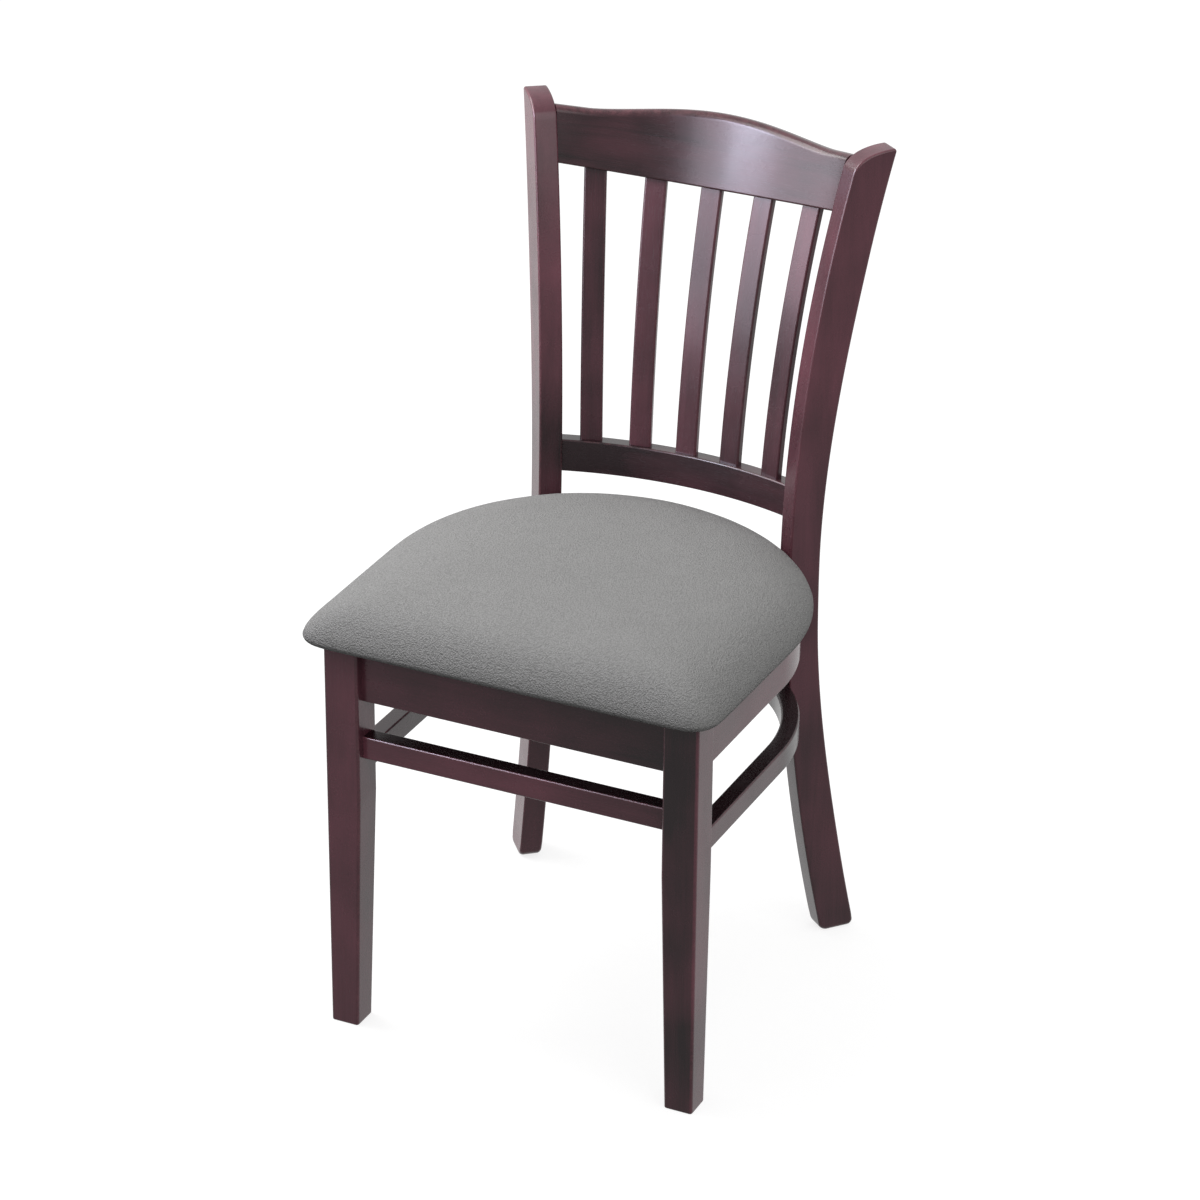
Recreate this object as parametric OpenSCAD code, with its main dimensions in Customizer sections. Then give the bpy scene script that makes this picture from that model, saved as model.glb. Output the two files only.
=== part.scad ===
// Slat-back side chair with a round-backed upholstered seat.
// Front faces -Y, top is +Z, and the origin is the centre of the box that holds the chair, at floor level.
// All lengths are millimetres and all angles are degrees.

/* [Overall] */
// Height of the rear posts' top corners above the floor
total_h = 876; // [780:1:980]
// Height of the seat frame's top, where the pad lies
frame_h = 444; // [400:1:480]

/* [Front legs] */
// Width over the outer faces of the front legs
leg_span = 410; // [360:1:460]
// Side of the square front leg above the taper
leg_w = 38; // [32:1:46]
// Side of the front leg at the floor
foot_w = 31; // [24:1:37]
// Distance of the taper's start below the bent stretcher
taper_gap = 14; // [4:1:90]

/* [Rear posts] */
// Thickness of the plank that a post is sawn from
post_t = 25; // [21:0.5:30]
// Depth of a post at seat height
post_waist_d = 35; // [30:0.5:42]
// Depth of a post beside the crest rail
post_top_d = 43.5; // [34:0.5:50]
// Depth of a post at the floor
post_foot_d = 40; // [33:0.5:48]
// Angle that a post is turned about the upright axis, so that it faces the seat's centre
post_turn = 40; // [34:0.5:46]
// Sideways lean of a post, feet outwards
post_lean = 1.4; // [0.5:0.1:2]
// Distance from the middle plane to a post's centre at seat height
post_x = 134.5; // [120:0.5:150]
// Distance from the front legs' faces to a post's front at seat height
post_y = 368; // [330:1:410]
// How far the post's front has swept back at its top
back_rake = 70; // [50:1:90]
// How far the post's front has swept back at the floor
foot_rake = 45; // [30:1:60]
// Distance of the upper sweep's start below the seat frame's top
upper_bow_drop = 44; // [20:1:60]
// Distance of the lower sweep's start below the seat frame's top
lower_bow_drop = 74; // [64:1:110]
// Distance of a post's narrowest place below the seat frame's top
waist_drop = 6; // [0:0.5:30]
// Height of the rounded ear at a post's top
ear_h = 22; // [16:1:40]
// Radius of the round at the front of a rear foot
heel_r = 8; // [5:0.5:12]

/* [Seat frame] */
// Height of the front apron and of the bent apron
apron_h = 68; // [55:1:82]
// Thickness of the front apron
apron_t = 19; // [15:0.5:24]
// Distance of the front apron behind the front legs' faces
apron_recess = 10.5; // [7:0.5:13]
// Thickness of the bent apron
hoop_t = 19; // [15:0.5:24]
// Distance of both bent hoops inside the legs' outer faces
hoop_inset = 6.5; // [4:0.5:10]
// Depth of the seat that each post has in the hoops
post_notch = 1.5; // [1:0.1:2.5]
// Length of a corner block along each apron
block_leg = 62; // [45:1:75]
// Height of the corner blocks and of the rear cleat
block_h = 30; // [22:1:38]
// Width of the rear seat cleat
cleat_w = 120; // [90:1:145]
// Depth of the rear seat cleat
cleat_d = 30; // [26:1:38]

/* [Stretchers] */
// Height of both stretchers' section
stretcher_h = 25; // [20:0.5:30]
// Thickness of both stretchers
stretcher_t = 19; // [15:0.5:24]
// Free height between the front apron and the front stretcher
stretcher_gap = 40; // [30:1:100]
// Free height between the front stretcher's underside and the bent stretcher's top
stretcher_step = 7; // [2:0.5:14]

/* [Back] */
// Height of the lower back rail's underside at the posts above the seat frame
rail_gap = 41; // [26:1:76]
// Height of the lower back rail
rail_h = 35; // [28:1:42]
// Thickness of the lower back rail
rail_t = 19; // [16:0.5:23]
// Radius of the lower back rail's front
rail_r = 340; // [285:1:410]
// Backward lean of the lower back rail
rail_lean = 5; // [2:0.5:8]
// Distance of the crest rail's underside at the posts below the posts' tops
crest_drop = 66; // [61:1:120]
// Height of the crest rail at the posts
crest_end_h = 59.5; // [50:0.5:62]
// Extra height of the crest rail's hump
hump_h = 15; // [8:0.5:21]
// Half width of the hump
hump_half_w = 132; // [100:1:140]
// Drop of the crest rail's underside at its middle
belly = 3.2; // [1:0.1:6]
// Thickness of the crest rail
crest_t = 20; // [17:0.5:24]
// Radius of the round along the crest rail's top edges
crest_round = 8; // [5:0.5:8.5]
// Radius of the crest rail's front
crest_r = 304; // [255:1:370]
// Backward lean of the crest rail
crest_lean = 17; // [14:0.5:20]
// Distance of the rails' fronts behind the posts' inner front edges
rail_recess = 2.5; // [1:0.1:4]

/* [Slats] */
// Number of slats
slat_count = 5; // [3:2:5]
// Width of a slat
slat_w = 23.5; // [19:0.5:28]
// Thickness of a slat
slat_t = 9; // [7.5:0.5:11]
// Distance between slats at the lower back rail
slat_pitch_low = 51.5; // [42:0.5:54]
// Distance between slats at the crest rail
slat_pitch_high = 61; // [51:0.5:62]
// Forward bow of a slat at its middle
slat_bow = 7; // [3:0.5:10]
// Depth of the mortises that hold the slats
mortise = 12; // [8:0.5:15]

/* [Seat pad] */
// Overhang of the pad in front of the front legs
pad_front = 25.5; // [19:0.5:31]
// Half width of the pad at its widest
pad_half_w = 228; // [214:1:240]
// Half width of the pad at its front corners
pad_front_half_w = 224.5; // [214:0.5:236]
// Distance from the front legs' faces to the pad's widest place
pad_wide_y = 177; // [150:1:210]
// Distance from the front legs' faces to the pad's rear
pad_rear_y = 404; // [394:1:406]
// Radius of the pad's front corners
pad_corner_r = 28; // [22:1:38]
// Height of the pad above the seat frame
pad_h = 53.5; // [44:0.5:64]
// Height of the pad's widest line above the seat frame
pad_wide_h = 7.5; // [5.5:0.5:10]
// How far the pad's lower edge is drawn in
pad_draw = 5; // [3:0.5:8]
// Thickness of the cover
cover_t = 1.2; // [0.9:0.1:1.6]
// Width of the cover's margin under the board
cover_margin = 40; // [34:1:46]
// Thickness of the plywood board
board_t = 12; // [9:0.5:15]
// Thickness of the dust cover
dust_t = 0.9; // [0.7:0.1:1.1]

/* [Fixings] */
// Diameter of the dowels
dowel_d = 8; // [6:0.5:10]
// Length of a dowel in each of the two pieces it joins
dowel_half = 14; // [11:0.5:16]
// Diameter of the small dowels in the stretchers' and rails' ends
small_dowel_d = 6; // [5:0.5:7]
// Shank diameter of the screws
screw_d = 4.5; // [3.5:0.1:5.5]
// Head diameter of the screws
screw_head_d = 9; // [7.5:0.1:11]
// Head height of the screws
screw_head_h = 3.5; // [2.5:0.1:4.2]
// Length of a post screw in the post
post_screw_bite = 22; // [16:0.5:26]
// Length of a seat screw in the board
seat_screw_bite = 8; // [6:0.5:8.5]
// Clearance on the diameter of the fixings and in the mortises
fit_gap = 0.2; // [0.1:0.05:0.3]

/* [Hidden] */

$fn = 64;
// steps along each swept edge
sweep_steps = 30;
// overrun of every cut
over = 10;
// gap between the foam and the cover's inside
foam_gap = 0.3;
wood = "#4a2c2e";
inner_wood = "#c9a877";
steel = "#b9bcc0";

// places worked out from the driving sizes
leg_x = leg_span / 2;
leg_inner_x = leg_x - leg_w;
hoop_r = leg_x - hoop_inset;
lean_pivot_z = frame_h - waist_drop;
upper_bow_h = frame_h - upper_bow_drop;
lower_bow_h = frame_h - lower_bow_drop;
apron_z = frame_h - apron_h;
front_stretcher_z = apron_z - stretcher_gap - stretcher_h;
side_stretcher_z = front_stretcher_z - stretcher_step - stretcher_h;
taper_h = side_stretcher_z - taper_gap;
rail_z = frame_h + rail_gap;
crest_z = total_h - crest_drop;
apron_rear_y = apron_recess + apron_t;
slat_half = (slat_count - 1) / 2;

// Sweep of the post's front behind its foremost line, which grows as a power of the height swept
back_sweep_power = 2;
foot_sweep_power = 1.8;
function post_front(z) =
    z > upper_bow_h ? back_rake * pow((z - upper_bow_h) / (total_h - upper_bow_h), back_sweep_power)
    : z < lower_bow_h ? foot_rake * pow((lower_bow_h - z) / lower_bow_h, foot_sweep_power)
    : 0;
// A smooth step from 0 to 1
function ease(s) = let (c = min(1, max(0, s))) c * c * (3 - 2 * c);
// Depth of the post, narrowest at seat height and full at a share of the way to its end
full_depth_share = 0.75;
function post_depth(z) =
    z > lean_pivot_z
    ? post_waist_d + (post_top_d - post_waist_d)
        * ease((z - lean_pivot_z) / (total_h - lean_pivot_z) / full_depth_share)
    : post_waist_d + (post_foot_d - post_waist_d)
        * ease((lower_bow_h - z) / lower_bow_h / full_depth_share);
// Tangential shift of a leaning post at a height
function post_shift(z) = tan(post_lean) * (lean_pivot_z - z);
// Plan place of the post's inner front edge at a height
function post_edge_x(z) =
    post_x + post_front(z) * sin(post_turn) + (post_shift(z) - post_t / 2) * cos(post_turn);
function post_edge_y(z) =
    post_y + post_front(z) * cos(post_turn) - (post_shift(z) - post_t / 2) * sin(post_turn);
// Height of an arc of radius r over a half chord x
function sag(r, x) = r - sqrt(r * r - x * x);
// Centre of a hoop's round back, so that the posts' fronts sit in its notches
function hoop_centre_y(z) =
    post_y - (hoop_r - post_notch - post_front(z) - post_x * sin(post_turn)) / cos(post_turn);

apron_centre_y = hoop_centre_y(frame_h - apron_h / 2);
stretcher_centre_y = hoop_centre_y(side_stretcher_z + stretcher_h / 2);

// Front bottom middle of the lower back rail
rail_sag = sag(rail_r, post_edge_x(rail_z));
rail_y = post_edge_y(rail_z) + rail_recess + rail_sag * cos(rail_lean);
rail_mid_z = rail_z - rail_sag * sin(rail_lean);
// Front bottom middle of the crest rail
crest_sag = sag(crest_r, post_edge_x(crest_z));
crest_y = post_edge_y(crest_z) + rail_recess + crest_sag * cos(crest_lean);
crest_mid_z = crest_z - crest_sag * sin(crest_lean);
crest_half_w = post_edge_x(total_h) + post_t;
// The box of the chair runs from the pad's front to the back of the crest rail's hump
rear_y = crest_y + crest_round + (crest_t - crest_round) * cos(crest_lean)
    + (crest_end_h + hump_h - crest_round) * sin(crest_lean);
centre_y = (rear_y - pad_front) / 2;

// Middle of the lower rail's top and of the crest rail's underside at a distance x from the middle plane
function rail_seat(x) = let (d = rail_t / 2 - sag(rail_r, x))
    [x, rail_y + d * cos(rail_lean) + rail_h * sin(rail_lean),
     rail_mid_z - d * sin(rail_lean) + rail_h * cos(rail_lean)];
function crest_seat(x) = let (d = crest_t / 2 - sag(crest_r, x))
    [x, crest_y + d * cos(crest_lean), crest_mid_z - d * sin(crest_lean)];

// Moves a child from the design frame, whose Y is zero at the front legs' faces, to the part's frame
module seated() translate([0, -centre_y, 0]) children();
// Mirrors a child onto the left side, which has side -1
module on_side(side) mirror([side < 0 ? 1 : 0, 0, 0]) children();
// The frame of a post: X runs outwards across its thickness, Y back through its depth
module post_frame(side)
    on_side(side)
        translate([post_x, post_y, lean_pivot_z])
            rotate([0, 0, -post_turn])
                rotate([0, -post_lean, 0])
                    translate([0, 0, -lean_pivot_z]) children();
// Turns an outline drawn as [Y, Z] into a plate that is w thick along X
module side_plate(w) rotate([90, 0, 90]) linear_extrude(w, center = true) children();
// A rod of diameter d along +Z from zero
module rod(d, length) cylinder(d = d, h = length);

// Front legs: square above, with the inner and rear faces tapered below
module leg_profile()
    polygon([[0, 0], [foot_w, 0], [leg_w, taper_h], [leg_w, frame_h], [0, frame_h]]);
module front_leg(side)
    seated() on_side(side) color(wood) difference() {
        intersection() {
            translate([leg_x, 0, 0]) mirror([1, 0, 0])
                translate([0, leg_w, 0]) rotate([90, 0, 0]) linear_extrude(leg_w) leg_profile();
            translate([leg_x - leg_w / 2, 0, 0]) side_plate(leg_w) leg_profile();
        }
        front_dowels(fit_gap);
    }

// Rear posts: foot, stile and ear sawn from one plank
// Power of the sine and cosine along the ear: 1 gives a quarter ellipse, and less a fuller ear
ear_power = 0.83;
post_zs = [for (i = [0:sweep_steps]) heel_r + (total_h - ear_h - heel_r) * i / sweep_steps];
// Extra length below the floor, cut off once the post leans
foot_spare = post_foot_d / 8;
post_outline = concat(
    [[post_front(0) + heel_r, -foot_spare]],
    [for (a = [90:-15:15]) let (z = heel_r * (1 - sin(a)))
        [post_front(z) + heel_r * (1 - cos(a)), z]],
    [for (z = post_zs) [post_front(z), z]],
    [for (a = [9:9:90]) let (z = total_h - ear_h + ear_h * pow(sin(a), ear_power))
        [post_front(z) + post_depth(z) * (1 - pow(cos(a), ear_power)), z]],
    [for (i = [sweep_steps - 1:-1:0]) let (z = total_h * i / sweep_steps)
        [post_front(z) + post_depth(z), z]],
    [[post_front(0) + post_depth(0), -foot_spare]]);
module post_body() side_plate(post_t) polygon(post_outline);
module floor_cut()
    translate([-total_h, -total_h, -total_h]) cube([total_h * 2, total_h * 2, total_h]);
module rear_post(side)
    seated() color(wood) difference() {
        post_frame(side) post_body();
        on_side(side) floor_cut();
        on_side(side) crest_dowel_set(fit_gap);
        on_side(side) rail_dowel_set(fit_gap);
        on_side(side) post_screw_set(fit_gap);
    }

// Straight front apron between the front legs
module front_apron()
    seated() color(wood) difference() {
        translate([-leg_inner_x, apron_recess, apron_z]) cube([leg_inner_x * 2, apron_t, apron_h]);
        for (side = [-1, 1]) on_side(side) {
            front_dowels(fit_gap);
            block_screw_set(fit_gap);
        }
    }

// Straight front stretcher between the front legs
module front_stretcher()
    seated() color(wood) difference() {
        translate([-leg_inner_x, apron_recess, front_stretcher_z])
            cube([leg_inner_x * 2, stretcher_t, stretcher_h]);
        for (side = [-1, 1]) on_side(side) front_dowels(fit_gap);
    }

// A bent hoop: straight sides from the front legs and a half round back with a notch at each post
module hoop(thickness, height, low_z, round_y)
    difference() {
        translate([0, round_y, low_z]) union() {
            difference() {
                cylinder(r = hoop_r, h = height, $fn = 128);
                translate([0, 0, -over])
                    cylinder(r = hoop_r - thickness, h = height + over * 2, $fn = 128);
                mirror([0, 1, 0]) translate([-hoop_r - over, 0, -over])
                    cube([(hoop_r + over) * 2, hoop_r + over, height + over * 2]);
            }
            for (side = [-1, 1]) on_side(side) mirror([0, 1, 0])
                translate([hoop_r - thickness, 0, 0]) cube([thickness, round_y - leg_w, height]);
        }
        for (side = [-1, 1]) post_frame(side) post_body();
        for (side = [-1, 1]) on_side(side) {
            front_dowels(fit_gap);
            post_screw_set(fit_gap);
        }
    }
module seat_apron_hoop()
    seated() color(wood) difference() {
        hoop(hoop_t, apron_h, apron_z, apron_centre_y);
        for (side = [-1, 1]) on_side(side) block_screw_set(fit_gap);
    }
module stretcher_hoop()
    seated() color(wood) hoop(stretcher_t, stretcher_h, side_stretcher_z, stretcher_centre_y);

// Cuts a rail's end at the inner face of a post
module beyond_post(side)
    post_frame(side) translate([-post_t / 2, -total_h, -total_h])
        cube([total_h * 2, total_h * 2, total_h * 3]);
// A plate bent about an upright axis in front of it, its front through the origin
module bent_plate(r, thickness, low_z, height)
    translate([0, -r, low_z]) difference() {
        cylinder(r = r + thickness, h = height, $fn = 128);
        translate([0, 0, -over]) cylinder(r = r, h = height + over * 2, $fn = 128);
    }
module lower_back_rail()
    seated() color(wood) difference() {
        translate([0, rail_y, rail_mid_z]) rotate([-rail_lean, 0, 0]) intersection() {
            bent_plate(rail_r, rail_t, 0, rail_h);
            translate([-crest_half_w, -rail_r / 2, -over])
                cube([crest_half_w * 2, rail_r, rail_h + over * 2]);
        }
        for (side = [-1, 1]) beyond_post(side);
        for (k = [-slat_half:slat_half]) slat_body(k, fit_gap);
        for (side = [-1, 1]) on_side(side) rail_dowel_set(fit_gap);
    }

// Height of the crest rail's top edge and underside at a distance x from the middle
hump_power = 0.7;
function crest_top(x) = crest_end_h
    + (abs(x) < hump_half_w ? hump_h * pow((1 + cos(180 * x / hump_half_w)) / 2, hump_power) : 0);
function crest_low(x) = -belly * max(0, 1 - pow(x / post_edge_x(crest_z), 2));
// Its section at an angle from the middle: the distance from the arc's centre, and the height
crest_section = 6;
function crest_ring(turn) = let (low = crest_low(crest_r * sin(turn)), top = crest_top(crest_r * sin(turn))) [
    for (p = concat([[crest_r, low], [crest_r + crest_t, low]],
                    [for (i = [0:crest_section]) let (a = 90 * i / crest_section)
                        [crest_r + crest_t - crest_round * (1 - cos(a)), top - crest_round * (1 - sin(a))]],
                    [for (i = [crest_section:-1:0]) let (a = 90 * i / crest_section)
                        [crest_r + crest_round * (1 - cos(a)), top - crest_round * (1 - sin(a))]]))
        [p[0] * sin(turn), p[0] * cos(turn) - crest_r, p[1]]];
crest_reach = asin(crest_half_w / crest_r);
crest_steps = 36;
module crest_body() {
    rings = [for (i = [-crest_steps / 2:crest_steps / 2]) crest_ring(2 * crest_reach * i / crest_steps)];
    middle = (rings[0][0] + rings[0][2]) / 2;
    skin(rings, middle, [-middle[0], middle[1], middle[2]]);
}
module crest_rail()
    seated() color(wood) difference() {
        translate([0, crest_y, crest_mid_z]) rotate([-crest_lean, 0, 0]) crest_body();
        for (side = [-1, 1]) beyond_post(side);
        for (k = [-slat_half:slat_half]) slat_body(k, fit_gap);
        for (side = [-1, 1]) on_side(side) crest_dowel_set(fit_gap);
    }

// A slat between its seats in the two rails, k pitches from the middle, grown by a gap for its mortises
module slat_body(k, gap) {
    low = rail_seat(k * slat_pitch_low);
    high = crest_seat(k * slat_pitch_high);
    turn = (asin(low[0] / rail_r) + asin(high[0] / crest_r)) / 2;
    rise = high[2] - low[2];
    back = (high[0] - low[0]) * sin(turn) + (high[1] - low[1]) * cos(turn);
    drift = (high[0] - low[0]) * cos(turn) - (high[1] - low[1]) * sin(turn);
    stretch = sqrt(rise * rise + drift * drift);
    ends = [-mortise, stretch + mortise];
    steps = sweep_steps / 2;
    zs = [for (i = [0:steps]) ends[0] + (ends[1] - ends[0]) * i / steps];
    half = (slat_t + gap) / 2;
    translate(low) rotate([0, 0, -turn]) rotate([0, atan(drift / rise), 0])
        side_plate(slat_w + gap)
            polygon(concat([for (z = zs) [slat_line(z, stretch, back) - half, z]],
                           [for (i = [steps:-1:0]) [slat_line(zs[i], stretch, back) + half, zs[i]]]));
}
// Centre line of a slat: straight from seat to seat, bowed forwards between
function slat_line(z, stretch, back) =
    let (s = z / stretch) back * s - slat_bow * 4 * s * (1 - s);
module back_slat(i) seated() color(wood) slat_body(i - 1 - slat_half, 0);

// Blocks behind the front corners, notched round the legs, with a screw up into the board
module corner_block_plan()
    polygon([[leg_inner_x - block_leg, apron_rear_y], [leg_inner_x, apron_rear_y],
             [leg_inner_x, leg_w], [hoop_r - hoop_t, leg_w], [hoop_r - hoop_t, leg_w + block_leg]]);
module corner_block(side)
    seated() on_side(side) color(inner_wood) difference() {
        translate([0, 0, frame_h - block_h]) linear_extrude(block_h) corner_block_plan();
        block_screw_set(fit_gap);
        front_seat_screw(fit_gap);
    }
// Cleat inside the bent apron's back, where the board ends short of the hoop
module rear_seat_cleat()
    seated() color(inner_wood) difference() {
        translate([-cleat_w / 2, apron_centre_y + hoop_r - hoop_t - cleat_d, frame_h - block_h])
            intersection() {
                cube([cleat_w, cleat_d, block_h]);
                translate([cleat_w / 2, cleat_d + hoop_t - hoop_r, -over])
                    cylinder(r = hoop_r - hoop_t, h = block_h + over * 2, $fn = 128);
            }
        for (side = [-1, 1]) on_side(side) rear_seat_screw(fit_gap);
    }

// Plan of the pad, right half from the front middle to the rear middle, drawn in by an inset
corner_steps = 5;
round_steps = 12;
least_corner_share = 0.125;
function pad_half(inset) = let (r = max(pad_corner_r - inset, pad_corner_r * least_corner_share)) concat(
    [for (i = [0:corner_steps]) let (a = -90 + 90 * i / corner_steps)
        [pad_front_half_w - inset - r + r * cos(a), inset - pad_front + r + r * sin(a)]],
    [for (i = [0:round_steps]) let (a = 90 * i / round_steps)
        [(pad_half_w - inset) * cos(a), pad_wide_y + (pad_rear_y - pad_wide_y - inset) * sin(a)]]);
function pad_plan(inset) = let (right = pad_half(inset), n = len(right)) concat(
    right, [for (i = [n - 2:-1:0]) [-right[i][0], right[i][1]]]);
// Middle of the crown, towards which the rings shrink, a share of the way from the widest place to the front
pad_mid_share = 0.2;
pad_mid_y = pad_wide_y - (pad_wide_y + pad_front) * pad_mid_share;
// A ring of the pad at a height, shrunk to a share of its plan
function pad_ring(inset, share, z) =
    [for (p = pad_plan(inset)) [p[0] * share, pad_mid_y + (p[1] - pad_mid_y) * share, z]];
// The crown's section: the ring's share of the plan at a share of the crown's height
crown_rise_power = 1.4;
crown_ring_power = 6.2;
function crown_ring_share(rise_share) = pow(1 - pow(rise_share, crown_rise_power), 1 / crown_ring_power);
// Rings of the crown from the widest line up, without the middle point
function crown(inset, low_z, high_z, steps) =
    [for (i = [0:steps - 1]) let (s = sin(90 * i / steps))
        pad_ring(inset, crown_ring_share(s), low_z + (high_z - low_z) * s)];
// Triangles between the rings of a closed skin, and the fans at its two ends
function skin_faces(rings, n) = concat(
    [for (r = [0:rings - 2], i = [0:n - 1]) let (a = r * n + i, b = r * n + (i + 1) % n)
        [a, a + n, b]],
    [for (r = [0:rings - 2], i = [0:n - 1]) let (a = r * n + i, b = r * n + (i + 1) % n)
        [b, a + n, b + n]],
    [for (i = [0:n - 1]) [rings * n, i, (i + 1) % n]],
    [for (i = [0:n - 1]) let (top = (rings - 1) * n) [rings * n + 1, top + (i + 1) % n, top + i]]);
// A closed solid from a list of rings, with a middle point below the first and above the last
module skin(rings, first_mid, last_mid)
    polyhedron(points = concat([for (r = rings) each r], [first_mid, last_mid]),
               faces = skin_faces(len(rings), len(rings[0])), convexity = 4);

pad_low_z = frame_h;
pad_wide_z = frame_h + pad_wide_h;
pad_top_z = frame_h + pad_h;
board_z = frame_h + cover_t;
foam_z = board_z + board_t;
foam_inset = cover_t + foam_gap;
board_inset = pad_draw + foam_inset;
crown_steps = 8;
inner_steps = 6;
// Share of the crown's rise at a ring of the cover's inside, and the height of the inside there
function inner_rise(i) = sin(90 * i / inner_steps);
function inner_z(share) = pad_wide_z + cover_t + (pad_top_z - pad_wide_z - cover_t * 2) * share;
// The cover is one skin: up its inside, round the margin under the board, and up its outside to the crown
cover_rings = concat(
    [for (i = [inner_steps - 1:-1:1])
        pad_ring(cover_t, crown_ring_share(inner_rise(i)), inner_z(inner_rise(i)))],
    [pad_ring(cover_t, 1, inner_z(0)),
     pad_ring(pad_draw + cover_t, 1, board_z),
     pad_ring(cover_margin, 1, board_z),
     pad_ring(cover_margin, 1, pad_low_z),
     pad_ring(pad_draw, 1, pad_low_z)],
    crown(0, pad_wide_z, pad_top_z, crown_steps));
module seat_cover()
    seated() color("#8f8f8f") difference() {
        skin(cover_rings, [0, pad_mid_y, pad_top_z - cover_t], [0, pad_mid_y, pad_top_z]);
        for (side = [-1, 1]) on_side(side) rear_seat_screw(fit_gap);
    }
module seat_board()
    seated() color(inner_wood) difference() {
        translate([0, 0, board_z]) linear_extrude(board_t) polygon(pad_plan(board_inset));
        for (side = [-1, 1]) on_side(side) {
            front_seat_screw(fit_gap);
            rear_seat_screw(fit_gap);
        }
    }
// Foam on the board, held just clear of the cover
foam_low_z = foam_z + foam_gap;
foam_low_share = 1 - (1 - crown_ring_share(inner_rise(1))) * max(0, foam_low_z - inner_z(0))
    / (inner_z(inner_rise(1)) - inner_z(0));
foam_low_inset = foam_inset + pad_draw * max(0, inner_z(0) - foam_low_z) / (inner_z(0) - board_z);
module seat_foam()
    seated() color("#e8d9a0")
        skin(concat(
                [pad_ring(foam_low_inset, foam_low_share, foam_low_z)],
                [for (i = [1:inner_steps - 1])
                    pad_ring(foam_inset, crown_ring_share(inner_rise(i)),
                             max(foam_low_z + foam_gap, inner_z(inner_rise(i)) - foam_gap * 2))]),
            [0, pad_mid_y, foam_low_z], [0, pad_mid_y, inner_z(1) - foam_gap * 2]);
module dust_cover()
    seated() color("#26262a") difference() {
        translate([0, 0, board_z - dust_t]) linear_extrude(dust_t)
            polygon(pad_plan(cover_margin + foam_gap));
        for (side = [-1, 1]) on_side(side) front_seat_screw(fit_gap);
    }

// Dowels of the front corner on the right side, with gap as their bores' extra width
apron_dowel_shares = [0.25, 0.75];
hoop_dowel_shares = [11 / 60, 35 / 60];
module across_dowel(d, y, z)
    translate([leg_inner_x - dowel_half, y, z]) rotate([0, 90, 0]) rod(d, dowel_half * 2);
module back_dowel(d, x, z)
    translate([x, leg_w + dowel_half, z]) rotate([90, 0, 0]) rod(d, dowel_half * 2);
module apron_dowel_set(gap)
    for (share = apron_dowel_shares)
        across_dowel(dowel_d + gap, apron_recess + apron_t / 2, apron_z + apron_h * share);
module hoop_dowel_set(gap)
    for (share = hoop_dowel_shares)
        back_dowel(dowel_d + gap, hoop_r - hoop_t / 2, apron_z + apron_h * share);
module stretcher_dowel_set(gap) {
    across_dowel(small_dowel_d + gap, apron_recess + stretcher_t / 2, front_stretcher_z + stretcher_h / 2);
    back_dowel(small_dowel_d + gap, hoop_r - stretcher_t / 2, side_stretcher_z + stretcher_h / 2);
}
module front_dowels(gap) {
    apron_dowel_set(gap);
    hoop_dowel_set(gap);
    stretcher_dowel_set(gap);
}
// Dowels across a post's inner face at a height, in the middle of a rail's end, and less deep in the post
post_dowel_share = 0.7;
crest_dowel_shares = [0.3, 0.7];
rail_dowel_shares = [0.27, 0.73];
module post_dowel(d, z, rail_thickness)
    post_frame(1) translate([-post_t / 2 - dowel_half, post_front(z) + rail_recess + rail_thickness / 2, z])
        rotate([0, 90, 0]) rod(d, dowel_half * (1 + post_dowel_share));
module crest_dowel_set(gap)
    for (share = crest_dowel_shares)
        post_dowel(small_dowel_d + gap, crest_z + crest_end_h * share, crest_t);
module rail_dowel_set(gap)
    for (share = rail_dowel_shares)
        post_dowel(small_dowel_d + gap, rail_z + rail_h * share, rail_t);

// A screw along +Z whose head's underside is at zero, or its bore when gap is not zero
module screw(shank, gap) {
    rod(screw_d + gap, shank);
    translate([0, 0, gap > 0 ? -over : -screw_head_h])
        rod(screw_head_d + gap, gap > 0 ? over : screw_head_h);
}
// Screws from inside the hoops into a post, their heads sunk in the hoops
screw_sink = screw_head_h * 2;
post_screw_shares = [0.27, 0.73];
module post_screw_set(gap) {
    for (share = post_screw_shares) post_screw(apron_z + apron_h * share, hoop_t, gap);
    post_screw(side_stretcher_z + stretcher_h / 2, stretcher_t, gap);
}
module post_screw(z, thickness, gap)
    post_frame(1) translate([0, post_front(z) + post_notch - thickness + screw_sink, z])
        rotate([-90, 0, 0]) screw(post_screw_bite + thickness - post_notch - screw_sink, gap);
// Screws from a corner block into the front apron and into the bent apron
block_screw_share = 0.62;
block_bite_share = 0.6;
block_screw_length = apron_t * block_bite_share + screw_sink;
module block_screw_set(gap) {
    along = block_leg * block_screw_share;
    translate([leg_inner_x - along, apron_rear_y + screw_sink, frame_h - block_h / 2])
        rotate([90, 0, 0]) screw(block_screw_length, gap);
    translate([hoop_r - hoop_t - screw_sink, leg_w + along, frame_h - block_h / 2])
        rotate([0, 90, 0]) screw(block_screw_length, gap);
}
// Screws up through the blocks and the cleat into the board
front_seat_screw_shares = [0.22, 0.36];
rear_seat_screw_share = 0.68;
module up_screw(x, y, gap)
    translate([x, y, frame_h - block_h + screw_head_h])
        screw(block_h - screw_head_h + cover_t + seat_screw_bite, gap);
module front_seat_screw(gap)
    up_screw(leg_inner_x - block_leg * front_seat_screw_shares[0],
             apron_rear_y + block_leg * front_seat_screw_shares[1], gap);
module rear_seat_screw(gap)
    up_screw(cleat_w / 4, apron_centre_y + hoop_r - hoop_t - cleat_d * rear_seat_screw_share, gap);

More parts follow.
